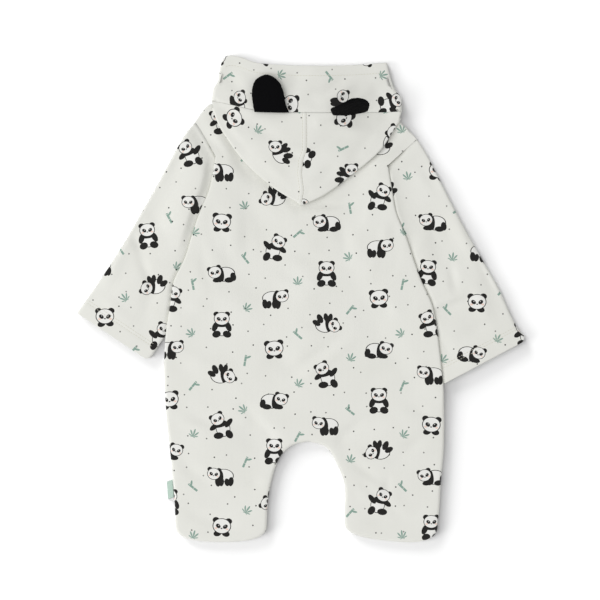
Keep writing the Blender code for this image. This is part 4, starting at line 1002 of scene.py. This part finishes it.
fleece = black_fleece()
for side, (base, turn, lean) in EARS.items():
    rows = spread(np.array(EAR_EDGES[side]) * (EAR_HEIGHT, 1.0, 1.0), np.linspace(0.0, 1.0, 30))
    stands, points, faces = float(side == "right"), [], []
    for height, low, high in rows:
        middle, half, share = (low + high) / 2, (high - low) / 2, height / EAR_HEIGHT
        thick = EAR_THICK / 2 * (1 - 0.5 * smooth(0.3, 1.05, share))
        for way in np.arange(EAR_ROUND) * 2 * math.pi / EAR_ROUND:
            cosine, sine = math.cos(way), math.sin(way)
            x = middle + half * math.copysign(abs(cosine) ** EAR_SQUARE, cosine)
            curl = CURL * math.sin(x * 6.28 / LOCK / 2.3 + 2.1 * math.sin(height * 0.9))
            curl *= math.sin(height * 6.28 / LOCK / 2.1 + 1.7 * math.sin(x * 1.1))
            narrow = 1 - 0.45 * stands * float(1 - smooth(-20.0, -2.0, x))
            reach = thick * narrow + curl * (share > 0.0)
            points.append((x + 0.6 * curl * cosine, reach * math.copysign(abs(sine) ** EAR_SQUARE, sine),
                           height * (1 + 0.004 * curl)))
    last = (len(rows) - 1) * EAR_ROUND
    for first in range(0, last, EAR_ROUND):
        for j in range(EAR_ROUND):
            k = (j + 1) % EAR_ROUND
            faces.append((first + j, first + k, first + EAR_ROUND + k, first + EAR_ROUND + j))
    faces += [tuple(reversed(range(EAR_ROUND))), tuple(last + j for j in range(EAR_ROUND))]
    lean, turn = math.radians(lean), math.radians(turn)
    x, thick, up = np.array(points).T
    bent = thick + WARP * (up / EAR_HEIGHT) * np.sin(x / 9.0) * stands
    y = bent * math.cos(lean) + up * math.sin(lean)
    z = -bent * math.sin(lean) + up * math.cos(lean)
    points = np.column_stack((x * math.cos(turn) - y * math.sin(turn),
                              x * math.sin(turn) + y * math.cos(turn), z))
    ear = add_mesh("ear_%s_fleece" % side, points + np.array(base), faces)
    ear.data.materials.append(fleece)
    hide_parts("ear_" + side)
    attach(ear, "root")

# ---- Label: a bare end of sage woven tape, folded double and caught in the side seam of the
# left leg, from which it sticks out and droops to what the suit lies on.
LABEL_ENDS = ((-140.7, -198.9), (-139.4, -218.2))
LABEL_REACH = (-6.4, -2.6)
LABEL_DROOP, LABEL_WALL = 3.0, 0.7


def woven_tape():
    """Woven polyester tape: fine cross ribs with a faint silky light on them."""
    material, tree, shader = new_material("sage woven tape")
    place = add(tree, "NewGeometry")["Position"]
    ribs = add(tree, "TexWave", {"Vector": place, "Scale": 420.0, "Distortion": 0.6},
               bands_direction="Y")["Fac"]
    colour = add(tree, "Mix", {0: ribs, 6: to_linear("#A2BCAE"), 7: to_linear("#BCD0C4")},
                 data_type="RGBA")[2]
    bump = add(tree, "Bump", {"Height": ribs, "Strength": 0.4, "Distance": 0.0002})[0]
    fill(shader, {"Base Color": colour, "Normal": bump, "Roughness": 0.55})
    return material


def label_grid(inset):
    """Grid of the label: rows along the seam, columns out from it."""
    down, far = np.meshgrid(np.linspace(0, 1, 24), np.linspace(0, 1, 12), indexing="ij")
    seam = mix(*np.array(LABEL_ENDS), down[..., None])
    flat = seam + far[..., None] * np.array(LABEL_REACH)
    height = body_middle(seam.reshape(-1, 2)).reshape(down.shape) + LABEL_WALL / 2 - LABEL_DROOP * far ** 1.5
    return np.dstack((flat, height - inset)), flat


label = add_wall("label_tape", label_grid, LABEL_WALL, False)
finish(label, "label", woven_tape())

# ---- Press studs: six painted steel caps, pressed through the lap of the fronts from the
# throat to the crotch.  They lie face down, flush with the underside of the lap.
steel, _, shader = new_material("painted steel")
fill(shader, {"Base Color": to_linear("#AEBFB4"), "Roughness": 0.4})
for number in range(1, 7):
    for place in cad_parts["press_stud_%d" % number].material_slots:
        place.material = steel

# ---- Set: a white sheet under the suit, soft daylight from the upper left, and a camera
# straight above.  They are no part of the suit.
bpy.ops.mesh.primitive_plane_add(size=12, location=(0, 0, -0.0002))
floor = bpy.context.object
floor.name = "floor"
# White paper: dead matt, so that it shows the soft shadow alone.
paper, _, shader = new_material("white paper")
fill(shader, {"Base Color": (0.62, 0.62, 0.62, 1.0), "Roughness": 1.0,
              "Emission Color": (1.0, 1.0, 1.0, 1.0), "Emission Strength": 0.05})
floor.data.materials.append(paper)

lamp = bpy.data.lights.new("window", "AREA")
lamp.shape = "DISK"
lamp.size = 5.0
lamp.energy = 126.0
window = put("window", lamp)
window.location = (-2.7, -0.5, 3.4)
window.rotation_euler = (-window.location).to_track_quat("-Z", "Y").to_euler()
# the standing ear leaves only a faint shade round its foot
see_through = bpy.data.collections.new("standing ear")
see_through.objects.link(bpy.data.objects["ear_right_fleece"])
see_through.collection_objects[0].light_linking.link_state = "EXCLUDE"
window.light_linking.blocker_collection = see_through
# two low lights that fall on the white sheet alone and draw out the suit's soft shadow
sheet_only = bpy.data.collections.new("white sheet")
sheet_only.objects.link(floor)
for name, way, power in (("low window", (0.60, -0.78, -0.20), 6.2),
                         ("low glow", (0.95, 0.24, -0.21), 4.6)):
    glow = bpy.data.lights.new(name, "SUN")
    glow.energy = power
    glow.angle = math.radians(34)
    low = put(name, glow)
    low.rotation_euler = Vector(way).to_track_quat("-Z", "Y").to_euler()
    low.light_linking.receiver_collection = sheet_only
world = bpy.data.worlds.new("room")
world.use_nodes = True
fill(world.node_tree.nodes["Background"], {"Color": (1.0, 1.0, 1.0, 1.0), "Strength": 0.58})
bpy.context.scene.world = world

view = bpy.data.cameras.new("camera")
view.sensor_width = 36.0
view.lens = 119.7
camera = put("camera", view)
camera.location = (-0.0004, -0.0012, 2.2)
bpy.context.scene.camera = camera
bpy.context.scene.view_settings.view_transform = "Standard"
